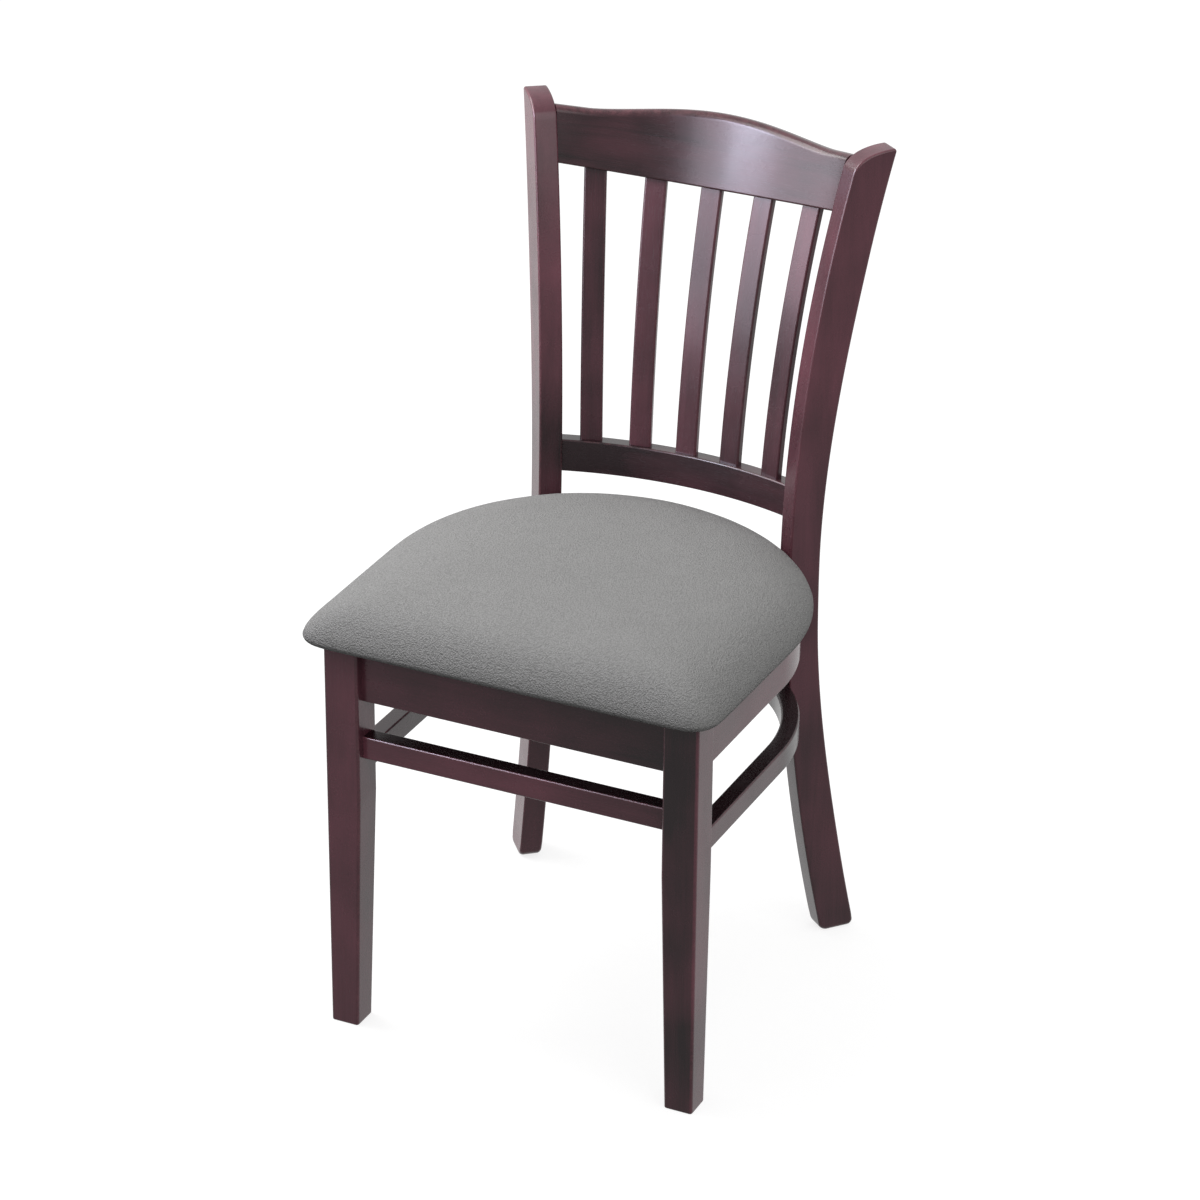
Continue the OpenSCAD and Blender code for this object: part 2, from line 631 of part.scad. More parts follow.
module both_sides() seated() for (side = [-1, 1]) on_side(side) children();
module apron_dowels() color(inner_wood) both_sides() apron_dowel_set(0);
module hoop_dowels() color(inner_wood) both_sides() hoop_dowel_set(0);
module stretcher_dowels() color(inner_wood) both_sides() stretcher_dowel_set(0);
module crest_dowels() color(inner_wood) both_sides() crest_dowel_set(0);
module rail_dowels() color(inner_wood) both_sides() rail_dowel_set(0);
module post_screws() color(steel) both_sides() post_screw_set(0);
module block_screws() color(steel) both_sides() block_screw_set(0);
module seat_screws() color(steel) both_sides() {
    front_seat_screw(0);
    rear_seat_screw(0);
}

front_leg(-1);  // front_leg_left
front_leg(1);  // front_leg_right
rear_post(-1);  // rear_post_left
rear_post(1);  // rear_post_right
front_apron();
seat_apron_hoop();
front_stretcher();
stretcher_hoop();
lower_back_rail();
crest_rail();
for (i = [1:slat_count]) back_slat(i);
corner_block(-1);  // corner_block_left
corner_block(1);  // corner_block_right
rear_seat_cleat();
seat_board();
seat_foam();
seat_cover();
dust_cover();
apron_dowels();
hoop_dowels();
stretcher_dowels();
crest_dowels();
rail_dowels();
post_screws();
block_screws();
seat_screws();
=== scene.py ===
# Slat-back side chair with a round-backed vinyl seat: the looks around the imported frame.
# Front faces -Y. Shapes are worked out in millimetres, with Y from the front faces of the front legs,
# and then moved to the frame.
import math

import bpy
import numpy as np
from mathutils import Matrix, Vector
from mathutils.bvhtree import BVHTree


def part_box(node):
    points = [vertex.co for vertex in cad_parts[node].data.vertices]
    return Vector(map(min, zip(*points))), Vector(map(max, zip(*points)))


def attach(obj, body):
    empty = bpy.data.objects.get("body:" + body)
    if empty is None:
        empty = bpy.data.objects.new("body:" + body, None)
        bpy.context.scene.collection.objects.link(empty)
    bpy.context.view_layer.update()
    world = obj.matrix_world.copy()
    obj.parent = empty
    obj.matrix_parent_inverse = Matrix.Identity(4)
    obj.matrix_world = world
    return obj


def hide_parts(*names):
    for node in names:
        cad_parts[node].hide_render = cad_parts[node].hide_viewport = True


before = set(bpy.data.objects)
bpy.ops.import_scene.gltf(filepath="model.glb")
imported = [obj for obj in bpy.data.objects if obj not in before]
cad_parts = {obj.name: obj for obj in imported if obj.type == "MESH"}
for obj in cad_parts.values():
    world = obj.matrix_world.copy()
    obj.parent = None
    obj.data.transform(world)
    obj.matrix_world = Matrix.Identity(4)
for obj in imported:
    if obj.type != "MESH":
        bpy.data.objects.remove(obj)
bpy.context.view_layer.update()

mm = 0.001
centreY = -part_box("front_leg_left")[0].y / mm  # from the legs' front faces back to the frame's zero
print("frame loaded, centre", round(centreY, 3))


def sin(degrees):
    return np.sin(np.radians(degrees))


def cos(degrees):
    return np.cos(np.radians(degrees))


def seated(x, y, z):
    # millimetres from the legs' front faces to metres in the frame
    return np.stack(np.broadcast_arrays(x, y - centreY, z), -1) * mm


def skin(name, grid, attributes, sharp=40, pole=False):
    # rings (stations, ring, 3) joined by quads, closed round each ring, with a face or a pole at both ends
    stations, ring = grid.shape[:2]
    points = grid.reshape(-1, 3)
    index = np.arange(stations * ring).reshape(stations, ring)
    a, b = index[:-1], index[1:]
    quads = np.stack([a, np.roll(a, -1, 1), np.roll(b, -1, 1), b], -1).reshape(-1, 4)
    # six times the volume between the quads and the middle; below zero, the faces look inwards
    p = points[quads] - points.mean(0)
    volume = (p[:, 0] * (np.cross(p[:, 1], p[:, 2]) + np.cross(p[:, 2], p[:, 3]))).sum()
    if pole:
        n = len(points)
        points = np.concatenate([points, grid[:1].mean(1), grid[-1:].mean(1)])
        attributes = {k: np.concatenate([v, v[:ring].mean(0)[None], v[-ring:].mean(0)[None]])
                      for k, v in attributes.items()}
        ends = (np.stack([np.full(ring, n), np.roll(index[0], -1), index[0]], -1).tolist()
                + np.stack([np.full(ring, n + 1), index[-1], np.roll(index[-1], -1)], -1).tolist())
    else:
        ends = [index[0][::-1].tolist(), index[-1].tolist()]
    faces = quads.tolist() + ends
    if volume < 0:
        faces = [f[::-1] for f in faces]
    mesh = bpy.data.meshes.new(name)
    mesh.from_pydata(points.tolist(), [], faces)
    for key, values in attributes.items():
        vector = values.ndim == 2
        layer = mesh.attributes.new(key, "FLOAT_VECTOR" if vector else "FLOAT", "POINT")
        layer.data.foreach_set("vector" if vector else "value", values.astype(np.float32).ravel())
    mesh.update()
    mesh.shade_smooth()
    mesh.set_sharp_from_angle(angle=math.radians(sharp))
    piece = bpy.data.objects.new(name, mesh)
    bpy.context.scene.collection.objects.link(piece)
    return piece


def place(name, node, slot, grid, grain, edge, seed=0, tone=0.0, **options):
    # a piece that stands for a CAD node; grain is a point's place (along, across, through) the timber, in
    # millimetres, moved by a seeded amount so that no two pieces show the same grain; tone says how light the
    # stain came out, and on some pieces also carries painted shade and painted light: the piece's few values,
    # spread from the first station to the last, plus the given ones
    offset = np.random.default_rng(seed).uniform(0, 4, 3)
    grain = np.stack(np.broadcast_arrays(*grain), -1).reshape(-1, 3) * mm + offset
    edge = np.broadcast_to(edge, grid.shape[:2]).reshape(-1)
    few = tones.get(name, [0.0])
    tone = tone + np.interp(np.linspace(0, 1, len(grid)), np.linspace(0, 1, len(few)), few)[:, None]
    tone = np.broadcast_to(tone, grid.shape[:2]).reshape(-1)
    piece = skin(name, grid, {"grain": grain, "edge": edge, "tone": tone}, **options)
    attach(piece, "root")
    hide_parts(node)
    flat = piece.modifiers.new("flat faces", "WEIGHTED_NORMAL")  # they stay flat beside the eased edges
    flat.keep_sharp = True
    flat.weight = 90
    return piece


def barRing(w, h, r, steps=5):
    # rounded rectangle: each corner is a quarter round of radius r about (w/2 - r, h/2 - r);
    # the edge value is the sine of twice the corner's angle: 1 on the round and 0 on the flats
    w, h, r = (np.asarray(v, float)[..., None] for v in np.broadcast_arrays(w, h, r))
    a = np.linspace(0, 90, steps + 1)
    angle = np.concatenate([a + 90 * k for k in range(4)])
    u = np.repeat([1, -1, -1, 1], steps + 1) * (w / 2 - r) + r * cos(angle)
    v = np.repeat([1, 1, -1, -1], steps + 1) * (h / 2 - r) + r * sin(angle)
    return u, v, np.broadcast_to(np.tile(sin(2 * a), 4), u.shape)


# how light each piece took the stain, from its first station to its last; legs and posts give theirs by
# height where they are made, and the left post's dip at seat height is painted shade
tones = {"straight_apron": [0.62, 0.56, 0.12], "bent_apron": [0.5, 0.4, 0.4, 0.45, 0.7],
         "straight_stretcher": [0.85, 0.95, 0.6], "bent_stretcher": [0.4, 0.3, 0.3, 0.05, 0.25],
         "bent_lower_rail": [0.0, 0.09, 0.12], "bent_crest_rail": [0.26, 0.28, 0.36],
         "slat_1": [0.26], "slat_2": [0.47], "slat_3": [0.3, 0.46],
         "slat_4": [0.34, 0.44], "slat_5": [0.4],
         "left_block": [0.5], "right_block": [0.4], "rear_cleat": [0.6]}
# sizes that several pieces share
seatH, total = 444, 876
legs = {"span": 410, "w": 38, "foot": 31, "taperH": 265, "ease": 3.2, "footEase": 1.6}
post = {"t": 25, "waist": 35, "top": 43.5, "foot": 40, "turn": 40, "lean": 1.4, "x": 134.5, "y": 368,
        "backRake": 70, "footRake": 45, "upperBow": 400, "lowerBow": 370, "ear": 22, "earPower": 0.83,
        "heel": 8, "pivot": 438, "ease": 2.4, "corner": 3, "footEase": 5, "footCorner": 6,
        "easeFade": 16, "levelFade": 40, "toneAt": (0, 400, 520, 700, 876)}


def postFront(z):
    # sweep of the post's front behind its foremost line: the rake times a power of the share of the height
    up = post["backRake"] * (np.maximum(z - post["upperBow"], 0) / (total - post["upperBow"])) ** 2
    return up + post["footRake"] * (np.maximum(post["lowerBow"] - z, 0) / post["lowerBow"]) ** 1.8


def ease(s):
    # smooth step: 0 up to 0 and 1 from 1, by the square and the cube between
    s = np.clip(s, 0, 1)
    return s * s * (3 - 2 * s)


def postDepth(z):
    # narrowest at seat height, wider towards both ends
    upper = ease((z - post["pivot"]) / (total - post["pivot"]) / 0.75)
    lower = ease((post["lowerBow"] - z) / post["lowerBow"] / 0.75)
    return post["waist"] + (post["top"] - post["waist"]) * upper + (post["foot"] - post["waist"]) * lower


sinTurn, cosTurn = sin(post["turn"]), cos(post["turn"])
sinLean, cosLean = sin(post["lean"]), cos(post["lean"])


def acrossPost(x, y, z):
    # distance of a point outwards from the right post's middle plane
    inward = (x - post["x"]) * cosTurn - (y - post["y"]) * sinTurn
    return inward * cosLean + (z - post["pivot"]) * sinLean


def postEdge(z):
    # plan place of the post's inner front edge at a height
    shift = sinLean / cosLean * (post["pivot"] - z) - post["t"] / 2
    front = postFront(z)
    return post["x"] + front * sinTurn + shift * cosTurn, post["y"] + front * cosTurn - shift * sinTurn


def frontLeg(name, node, side, seed, frontTone, sideTone):
    # a square section whose side grows evenly with the height up to the taper's top, the outer and front
    # faces upright, and a quarter round under the foot; the front face has its own tone by height
    a = np.array([0, 30, 60])
    z = np.concatenate([legs["footEase"] * (1 - cos(a)), np.linspace(legs["footEase"], 250, 24),
                        np.linspace(255, 275, 8), np.linspace(285, seatH, 12)])
    width = legs["w"] - (legs["w"] - legs["foot"]) * np.clip(1 - z / legs["taperH"], 0, 1)
    inset = np.zeros_like(z)
    inset[:3] = legs["footEase"] * (1 - sin(a))
    u, v, edge = barRing(width - 2 * inset, width - 2 * inset, legs["ease"] - inset)
    grid = seated(side * (legs["span"] / 2 - width[:, None] / 2 - u), width[:, None] / 2 + v, z[:, None])
    inFront = v < v.min(1, keepdims=True) + 0.1
    tone = np.where(inFront, np.interp(z, (0, seatH), frontTone)[:, None], sideTone)
    return place(name, node, "stained_wood", grid, (z[:, None], u, v), edge, seed, tone)


def paintedTopShade(v):
    # painted shade: the upper faces, where v is largest, are given a darker tone than the other faces
    return np.where(v > v.max(1, keepdims=True) - 0.1, -1.0, 0.0)


def crossBar(name, node, y, z, t, h, easing, seed):
    # a straight bar between the front legs' inner faces
    half = legs["span"] / 2 - legs["w"]
    x = np.linspace(-half, half, 41)
    u, v, edge = barRing(np.full(len(x), t), h, easing)
    grid = seated(x[:, None], y + t / 2 + u, z + h / 2 + v)
    # the upper faces get painted shade
    return place(name, node, "stained_wood", grid, (x[:, None], v, u), edge, seed, paintedTopShade(v))


wooden = [frontLeg("left_front_leg", "front_leg_left", -1, 1, (0.6, 0.85), 0.4),
          frontLeg("right_front_leg", "front_leg_right", 1, 2, (0.34, -0.04), 0.5),
          crossBar("straight_apron", "front_apron", 10.5, 376, 19, 68, 1.7, 3),
          crossBar("straight_stretcher", "front_stretcher", 10.5, 311, 19, 25, 2.0, 4)]
print("front legs, apron and stretcher made")


def roundCorner(before, corner, after, r, steps=7):
    # an arc of radius r that touches both lines through the corner, and how much of each line it takes
    u = (before - corner) / np.linalg.norm(before - corner)
    v = (after - corner) / np.linalg.norm(after - corner)
    half = np.arccos(u @ v) / 2
    reach = r / np.tan(half)
    centre = corner + (u + v) / np.linalg.norm(u + v) * r / np.sin(half)
    start, end = corner + u * reach - centre, corner + v * reach - centre
    t = np.linspace(0, 1, steps)[:, None]
    turnOf = np.pi - 2 * half
    return centre + (np.sin((1 - t) * turnOf) * start + np.sin(t * turnOf) * end) / np.sin(turnOf), reach


def plateRings(outline, t, easing, steps=5):
    # a plate's rings from one face to the other: the outline drawn in by easing * (1 - sin a) at
    # easing * (1 - cos a) from the face, so that every edge is a quarter round; each point of the outline
    # may have its own easing
    along = np.roll(outline, -1, 0) - outline
    along /= np.linalg.norm(along, axis=1, keepdims=True)
    area = (outline[:, 0] * np.roll(outline[:, 1], -1) - outline[:, 1] * np.roll(outline[:, 0], -1)).sum()
    inward = np.stack([-along[:, 1], along[:, 0]], -1) * np.sign(area)
    both = inward + np.roll(inward, 1, 0)
    both /= (both * inward).sum(1, keepdims=True)
    a = np.linspace(0, 90, steps + 1)
    a = np.concatenate([a, a[::-1]])[:, None]
    easing = np.broadcast_to(easing, len(outline))
    drawn = outline[None] + both[None] * (easing * (1 - sin(a)))[..., None]
    across = easing * (1 - cos(a))
    across[steps + 1:] = t - across[steps + 1:]
    return drawn, across - t / 2, sin(2 * a)


def postOutline():
    # depth and height of the post's side: rounded heel, swept front, ear whose rise and depth are powers
    # of the sine and of the cosine, swept back
    a = np.linspace(90, 6, 15)
    heelZ = post["heel"] * (1 - sin(a))
    heel = np.stack([postFront(heelZ) + post["heel"] * (1 - cos(a)), heelZ], -1)
    z = np.linspace(post["heel"] + 1, total - post["ear"], 90)
    front = np.stack([postFront(z), z], -1)
    a = np.linspace(1, 90, 40)
    rise, back = np.abs(sin(a)) ** post["earPower"], 1 - np.abs(cos(a)) ** post["earPower"]
    z = total - post["ear"] + post["ear"] * rise
    ear = np.stack([postFront(z) + postDepth(z) * back, z], -1)
    z = np.linspace(total, 0, 110)
    back = np.stack([postFront(z) + postDepth(z), z], -1)
    top, low = back[0], back[-1]
    earCorner, earReach = roundCorner(ear[-3], top, back[1], post["corner"])
    footCorner, footReach = roundCorner(back[-2], low, low - [10, 0], post["footCorner"])
    ear = ear[np.linalg.norm(ear - top, axis=1) > earReach + 0.4]
    back = back[(np.linalg.norm(back - top, axis=1) > earReach + 0.4)
                & (np.linalg.norm(back - low, axis=1) > footReach + 0.4)]
    foot = np.stack([np.linspace(low[0] - footReach - 1, heel[0, 0] + 2, 8), np.zeros(8)], -1)
    return np.concatenate([heel, front, ear, earCorner, back, footCorner, foot])


def rearPost(name, node, side, seed, heightTones, outerPaintedLight):
    # the side plate leaned about Y and turned about Z at the pivot, its foot cut level with the floor and the
    # edges eased more where the foot meets the floor; tones by height, on the left post with painted shade at
    # seat height; the outer half lighter by outerPaintedLight, painted light standing in for the outer face's
    # glancing reflection
    outline = postOutline()
    easing = post["ease"] + (post["footEase"] - post["ease"]) * ease(1 - outline[:, 1] / post["easeFade"])
    drawn, across, edge = plateRings(outline, post["t"], easing)
    depth, height = drawn[..., 0], drawn[..., 1]
    up = height - post["pivot"]
    x = across * cosLean - up * sinLean
    z = across * sinLean + up * cosLean + post["pivot"]
    z = z - (across * sinLean + post["pivot"] * (1 - cosLean)) * np.clip(1 - height / post["levelFade"], 0, 1)
    grid = seated(side * (post["x"] + x * cosTurn + depth * sinTurn),
                  post["y"] - x * sinTurn + depth * cosTurn, np.maximum(z, 0))
    tone = np.interp(height, post["toneAt"], heightTones)
    # painted light: the outer half of the plate is made lighter in tone
    tone = tone + outerPaintedLight * np.linspace(-1, 1, len(height)).clip(0)[:, None]
    return place(name, node, "stained_wood", grid, (height, depth, across), edge, seed, tone)


# the left post's tone dips lowest around seat height: painted shade beside the seat
wooden += [rearPost("left_rear_post", "rear_post_left", -1, 5, (0.6, 0.25, 0.02, 0.7, 0.36), 0.3),
           rearPost("right_rear_post", "rear_post_right", 1, 6, (0.32, 0.45, 0.48, 0.64, 0.5), 0.0)]
print("rear posts made")


def bentHoop(name, node, low, height, easing, seed):
    # a bar on a U-shaped path: straight sides, then a half circle of the hoop's middle radius; its outside is
    # cut flat, notch deep, where the posts sit in it; s runs along the path from the middle of the back
    outer, t, notch = 198.5, 19, 1.5
    before, cut = 40, 12  # stations from the middle to the post, and over the post
    middle, frontY = outer - t / 2, legs["w"]
    mid = low + height / 2
    reach = outer - notch - postFront(mid) - post["x"] * sinTurn
    roundY = post["y"] - reach / cosTurn
    quarter = np.pi / 2 * middle
    end = quarter + roundY - frontY
    u, v, edge = (ringPart[None] for ringPart in barRing(t, height, easing))
    z = mid + v
    # the post's middle plane meets the hoop at a tangent distance that changes with the lean
    tangent = post["x"] * cosTurn - (post["y"] - roundY) * sinTurn - (z - post["pivot"]) * sinLean / cosLean
    bounds = [post["turn"] + np.degrees(np.arcsin((tangent + s * post["t"] / 2) / outer)) for s in (-1, 1)]
    bounds = [np.radians(b) * middle for b in bounds]
    inner, far = (float(b.mean()) for b in bounds)
    base = np.concatenate([np.linspace(0, inner, before), np.linspace(inner, far, cut),
                           np.linspace(far, quarter, 24), np.linspace(quarter + 6, end, 24)])
    notched = np.zeros(len(base), bool)
    notched[before:before + cut] = True
    base[before], base[before + cut - 1] = inner + 0.05, far - 0.05
    # stations near the post are shifted to its slanting sides, less so towards the ends of the curve
    s = base[:, None]
    shift = np.where(s < inner, s / inner * (bounds[0] - inner), 0)
    inside = (s >= inner) & (s <= far)
    share = np.clip((s - inner) / (far - inner), 0, 1)
    shift = np.where(inside, (1 - share) * (bounds[0] - inner) + share * (bounds[1] - far), shift)
    shift = np.where(s > far, np.clip((quarter - s) / (quarter - far), 0, 1) * (bounds[1] - far), shift)
    s = s + shift
    angle = np.degrees(np.minimum(s, quarter) / middle)
    plane = post["x"] * sinTurn + (post["y"] - roundY) * cosTurn + postFront(z)
    limit = plane / cos(angle - post["turn"]) - middle
    across = np.where(notched[:, None], np.minimum(u, limit), u)
    x = (middle + across) * sin(angle)
    y = roundY + (middle + across) * cos(angle) - np.maximum(s - quarter, 0)
    # the whole hoop is its half and its mirror image
    half = np.stack(np.broadcast_arrays(x, y, z), -1)
    other = half[:0:-1] * [-1, 1, 1]
    whole = np.concatenate([other, half])
    along = np.concatenate([-s[:0:-1], s])
    grid = seated(whole[..., 0], whole[..., 1], whole[..., 2])
    # the upper faces get painted shade
    return place(name, node, "stained_wood", grid, (along, v, u), edge, seed, paintedTopShade(v))


wooden += [bentHoop("bent_apron", "seat_apron_hoop", 376, 68, 1.7, 7),
           bentHoop("bent_stretcher", "stretcher_hoop", 279, 25, 2.0, 8)]
print("bent apron and bent stretcher made")


def sag(r, x):
    # height of an arc of radius r over a half chord x
    return r - np.sqrt(r * r - x * x)


rail = {"z": 485, "h": 35, "t": 19, "r": 340, "lean": 5, "recess": 2.5, "ease": 1.8, "round": 1.8,
        "belly": 0, "hump": 0, "humpHalf": 132}
crest = {"z": 810, "h": 59.5, "t": 20, "r": 304, "lean": 17, "recess": 2.5, "ease": 2.2, "round": 8,
         "belly": 3.2, "hump": 15, "humpHalf": 132}
for bar in (rail, crest):
    edgeX, edgeY = postEdge(bar["z"])
    bar["edgeX"] = edgeX
    bar["y"] = edgeY + bar["recess"] + sag(bar["r"], edgeX) * cos(bar["lean"])
    bar["midZ"] = bar["z"] - sag(bar["r"], edgeX) * sin(bar["lean"])


def bentRail(name, node, bar, seed, steps=6, stations=141):
    # a section carried along an arc that leans back, each line of it ended on the posts' inner faces;
    # the top edge rises by a power of a raised cosine, and the underside drops by a parabola
    a = np.linspace(0, 90, steps + 1)
    corners = [(bar["ease"], bar["ease"], 180), (bar["t"] - bar["ease"], bar["ease"], 270),
               (bar["t"] - bar["round"], -bar["round"], 0), (bar["round"], -bar["round"], 90)]
    radial = np.concatenate([c + abs(r) * cos(a + start) for c, r, start in corners])
    lift = np.concatenate([r + abs(r) * sin(a + start) for _, r, start in corners])
    onTop = np.repeat([False, True], 2 * (steps + 1))
    edge = np.tile(sin(2 * a), 4)

    def point(angle):
        x = bar["r"] * np.sin(angle)
        turn = np.clip(np.abs(x) / bar["humpHalf"], 0, 1)
        top = bar["h"] + bar["hump"] * ((1 + np.cos(np.pi * turn)) / 2) ** 0.7
        under = -bar["belly"] * np.maximum(0, 1 - (x / bar["edgeX"]) ** 2)
        back = (bar["r"] + radial) * np.cos(angle) - bar["r"]
        height = np.where(onTop, top, under) + lift
        return ((bar["r"] + radial) * np.sin(angle),
                bar["y"] + back * cos(bar["lean"]) + height * sin(bar["lean"]),
                bar["midZ"] - back * sin(bar["lean"]) + height * cos(bar["lean"]), height)

    end = np.full(len(radial), 0.5)
    for _ in range(12):  # Newton steps to the post's inner face
        off = acrossPost(*point(end)[:3]) + post["t"] / 2
        slope = (acrossPost(*point(end + 1e-4)[:3]) + post["t"] / 2 - off) / 1e-4
        end = end - off / slope
    angle = np.linspace(-1, 1, stations)[:, None] * end
    x, y, z, height = point(angle)
    grain = (angle * bar["r"], height, np.broadcast_to(radial, angle.shape))
    tone = np.where(onTop, -0.12, 0.0)[None]  # painted shade: the upper edge is made a little darker
    return place(name, node, "stained_wood", seated(x, y, z), grain, edge, seed, tone)


wooden += [bentRail("bent_lower_rail", "lower_back_rail", rail, 9),
           bentRail("bent_crest_rail", "crest_rail", crest, 10)]

slat = {"count": 5, "w": 23.5, "t": 9, "low": 51.5, "high": 61, "bow": 7, "tenon": 12, "ease": 2.3}


def railSeat(bar, x, height):
    # middle of a rail's section at a distance x from the middle plane, at a height of its section
    d = bar["t"] / 2 - sag(bar["r"], x)
    return np.array([x, bar["y"] + d * cos(bar["lean"]) + height * sin(bar["lean"]),
                     bar["midZ"] - d * sin(bar["lean"]) + height * cos(bar["lean"])])


def backSlat(i, seed):
    # a flat bar from rail to rail, bowed forwards by a parabola, turned to face the middle of the two arcs
    k = i - (slat["count"] + 1) / 2
    low = railSeat(rail, k * slat["low"], rail["h"])
    high = railSeat(crest, k * slat["high"], 0)
    turn = (np.arcsin(low[0] / rail["r"]) + np.arcsin(high[0] / crest["r"])) / 2
    gap = high - low
    back = gap[0] * np.sin(turn) + gap[1] * np.cos(turn)
    drift = gap[0] * np.cos(turn) - gap[1] * np.sin(turn)
    stretch, tilt = np.hypot(gap[2], drift), np.arctan2(drift, gap[2])
    z = np.linspace(-slat["tenon"], stretch + slat["tenon"], 61)[:, None]
    s = z / stretch
    line = back * s - slat["bow"] * 4 * s * (1 - s)
    u, v, edge = barRing(slat["w"], slat["t"], slat["ease"])
    x, y = np.broadcast_arrays(u * np.cos(tilt) + z * np.sin(tilt), line + v)
    up = -u * np.sin(tilt) + z * np.cos(tilt)
    grid = seated(low[0] + x * np.cos(turn) + y * np.sin(turn),
                  low[1] - x * np.sin(turn) + y * np.cos(turn), low[2] + up)
    return place("slat_" + str(i), "back_slat_" + str(i), "stained_wood", grid, (z, u, v), edge, seed)


wooden += [backSlat(i, 10 + i) for i in range(1, slat["count"] + 1)]
print("rails and slats made")

pad = {"front": 26.3, "halfW": 228, "frontHalfW": 226.3, "wideY": 177, "rearY": 404, "corner": 25,
       "h": 53.5, "wideH": 6, "sharePower": 6.2, "risePower": 1.4, "crownSteps": 44, "rollSteps": 9,
       "heel": 6, "heelTop": 42, "heelFade": 30, "draw": 5, "margin": 40, "cover": 1.2, "board": 12,
       "gap": 0.3}
pad["midY"] = pad["wideY"] - (pad["wideY"] + pad["front"]) / 5


def padPlan(inset, count=320):
    # straight front, quarter-round corners, slightly spread sides and a half-ellipse back, spaced by arc
    # length and smoothed round the ring by a bell curve
    r = max(pad["corner"] - inset, 3.5)
    a = np.linspace(-90, 0, 40)
    corner = np.stack([pad["frontHalfW"] - inset - r + r * cos(a),
                       inset - pad["front"] + r + r * sin(a)], -1)
    a = np.linspace(0, 90, 200)
    back = np.stack([(pad["halfW"] - inset) * cos(a),
                     pad["wideY"] + (pad["rearY"] - pad["wideY"] - inset) * sin(a)], -1)
    half = np.concatenate([[[0, inset - pad["front"]]], corner, back])
    line = np.concatenate([half, half[-2::-1] * [-1, 1]])
    run = np.concatenate([[0], np.cumsum(np.linalg.norm(np.diff(line, axis=0), axis=1))])
    want = np.linspace(0, run[-1], count, endpoint=False)
    ring = np.stack([np.interp(want, run, line[:, 0]), np.interp(want, run, line[:, 1])], -1)
    kernel = np.exp(-0.5 * (np.arange(-8, 9) / 2.6) ** 2)
    kernel /= kernel.sum()
    return sum(w * np.roll(ring, s, 0) for w, s in zip(kernel, range(-8, 9)))


def padRing(inset, share, z):
    # a ring of the plan, shrunk towards the crown's middle to a share of itself; low down the back
    # reaches further, over the bent apron's top
    ring = padPlan(inset)
    y = pad["midY"] + (ring[:, 1] - pad["midY"]) * share
    y = y + pad["heel"] * np.clip((y - pad["wideY"]) / (pad["rearY"] - pad["wideY"]), 0, 1) \
        * ease((seatH + pad["heelTop"] - z) / pad["heelFade"])
    return np.stack([ring[:, 0] * share, y, np.full(len(ring), float(z))], -1)


def crownRings():
    # the crown's section: rise ** risePower is 1 - share ** sharePower, spaced by arc length
    share = np.concatenate([np.linspace(0.02, 0.9, 400, endpoint=False), 1 - np.geomspace(0.1, 1e-5, 400)])
    rise = (1 - share ** pad["sharePower"]) ** (1 / pad["risePower"])
    z = seatH + pad["wideH"] + (pad["h"] - pad["wideH"]) * rise
    run = np.concatenate([[0], np.cumsum(np.hypot(np.diff(share * pad["halfW"]), np.diff(z)))])
    want = np.linspace(0, run[-1], pad["crownSteps"])
    return np.interp(want, run, share), np.interp(want, run, z)


def padGrid(pocket=True):
    # crown, lower edge rolled in by a quarter ellipse, and then either the margin under the board with the
    # board's pocket, or a plain underside
    rings = [padRing(0, s, z) for s, z in zip(*crownRings())]
    for a in np.linspace(0, 90, pad["rollSteps"]):
        rings.append(padRing(pad["draw"] * (1 - cos(a)), 1, seatH + pad["wideH"] * (1 - sin(a))))
    if pocket:
        boardZ = seatH + pad["cover"] - 0.2
        boardInset = pad["draw"] + pad["cover"] + pad["gap"] - 0.3
        topZ = seatH + pad["cover"] + pad["board"] + 0.2
        rings += [padRing(i, 1, seatH) for i in (12, 22, 32, pad["margin"])]
        rings += [padRing(pad["margin"], 1, boardZ), padRing(boardInset, 1, boardZ),
                  padRing(boardInset, 1, topZ)]
        rings += [padRing(boardInset, s, topZ) for s in (0.8, 0.5, 0.2, 0.03)]
    else:
        rings += [padRing(i, 1, seatH) for i in (20, 50, 90, 130)]
    return np.stack(rings)


filling = {"voxel": 0.006, "smaller": 0.988, "lower": 2, "heldH": 1.5, "quality": 4, "mass": 0.25,
           "stiffness": 30, "bending": 3, "pressure": 4, "frames": 20,
           "reach": 0.02, "soften": 4, "fadeFrom": 4, "fadeOver": 22, "most": 1.5}


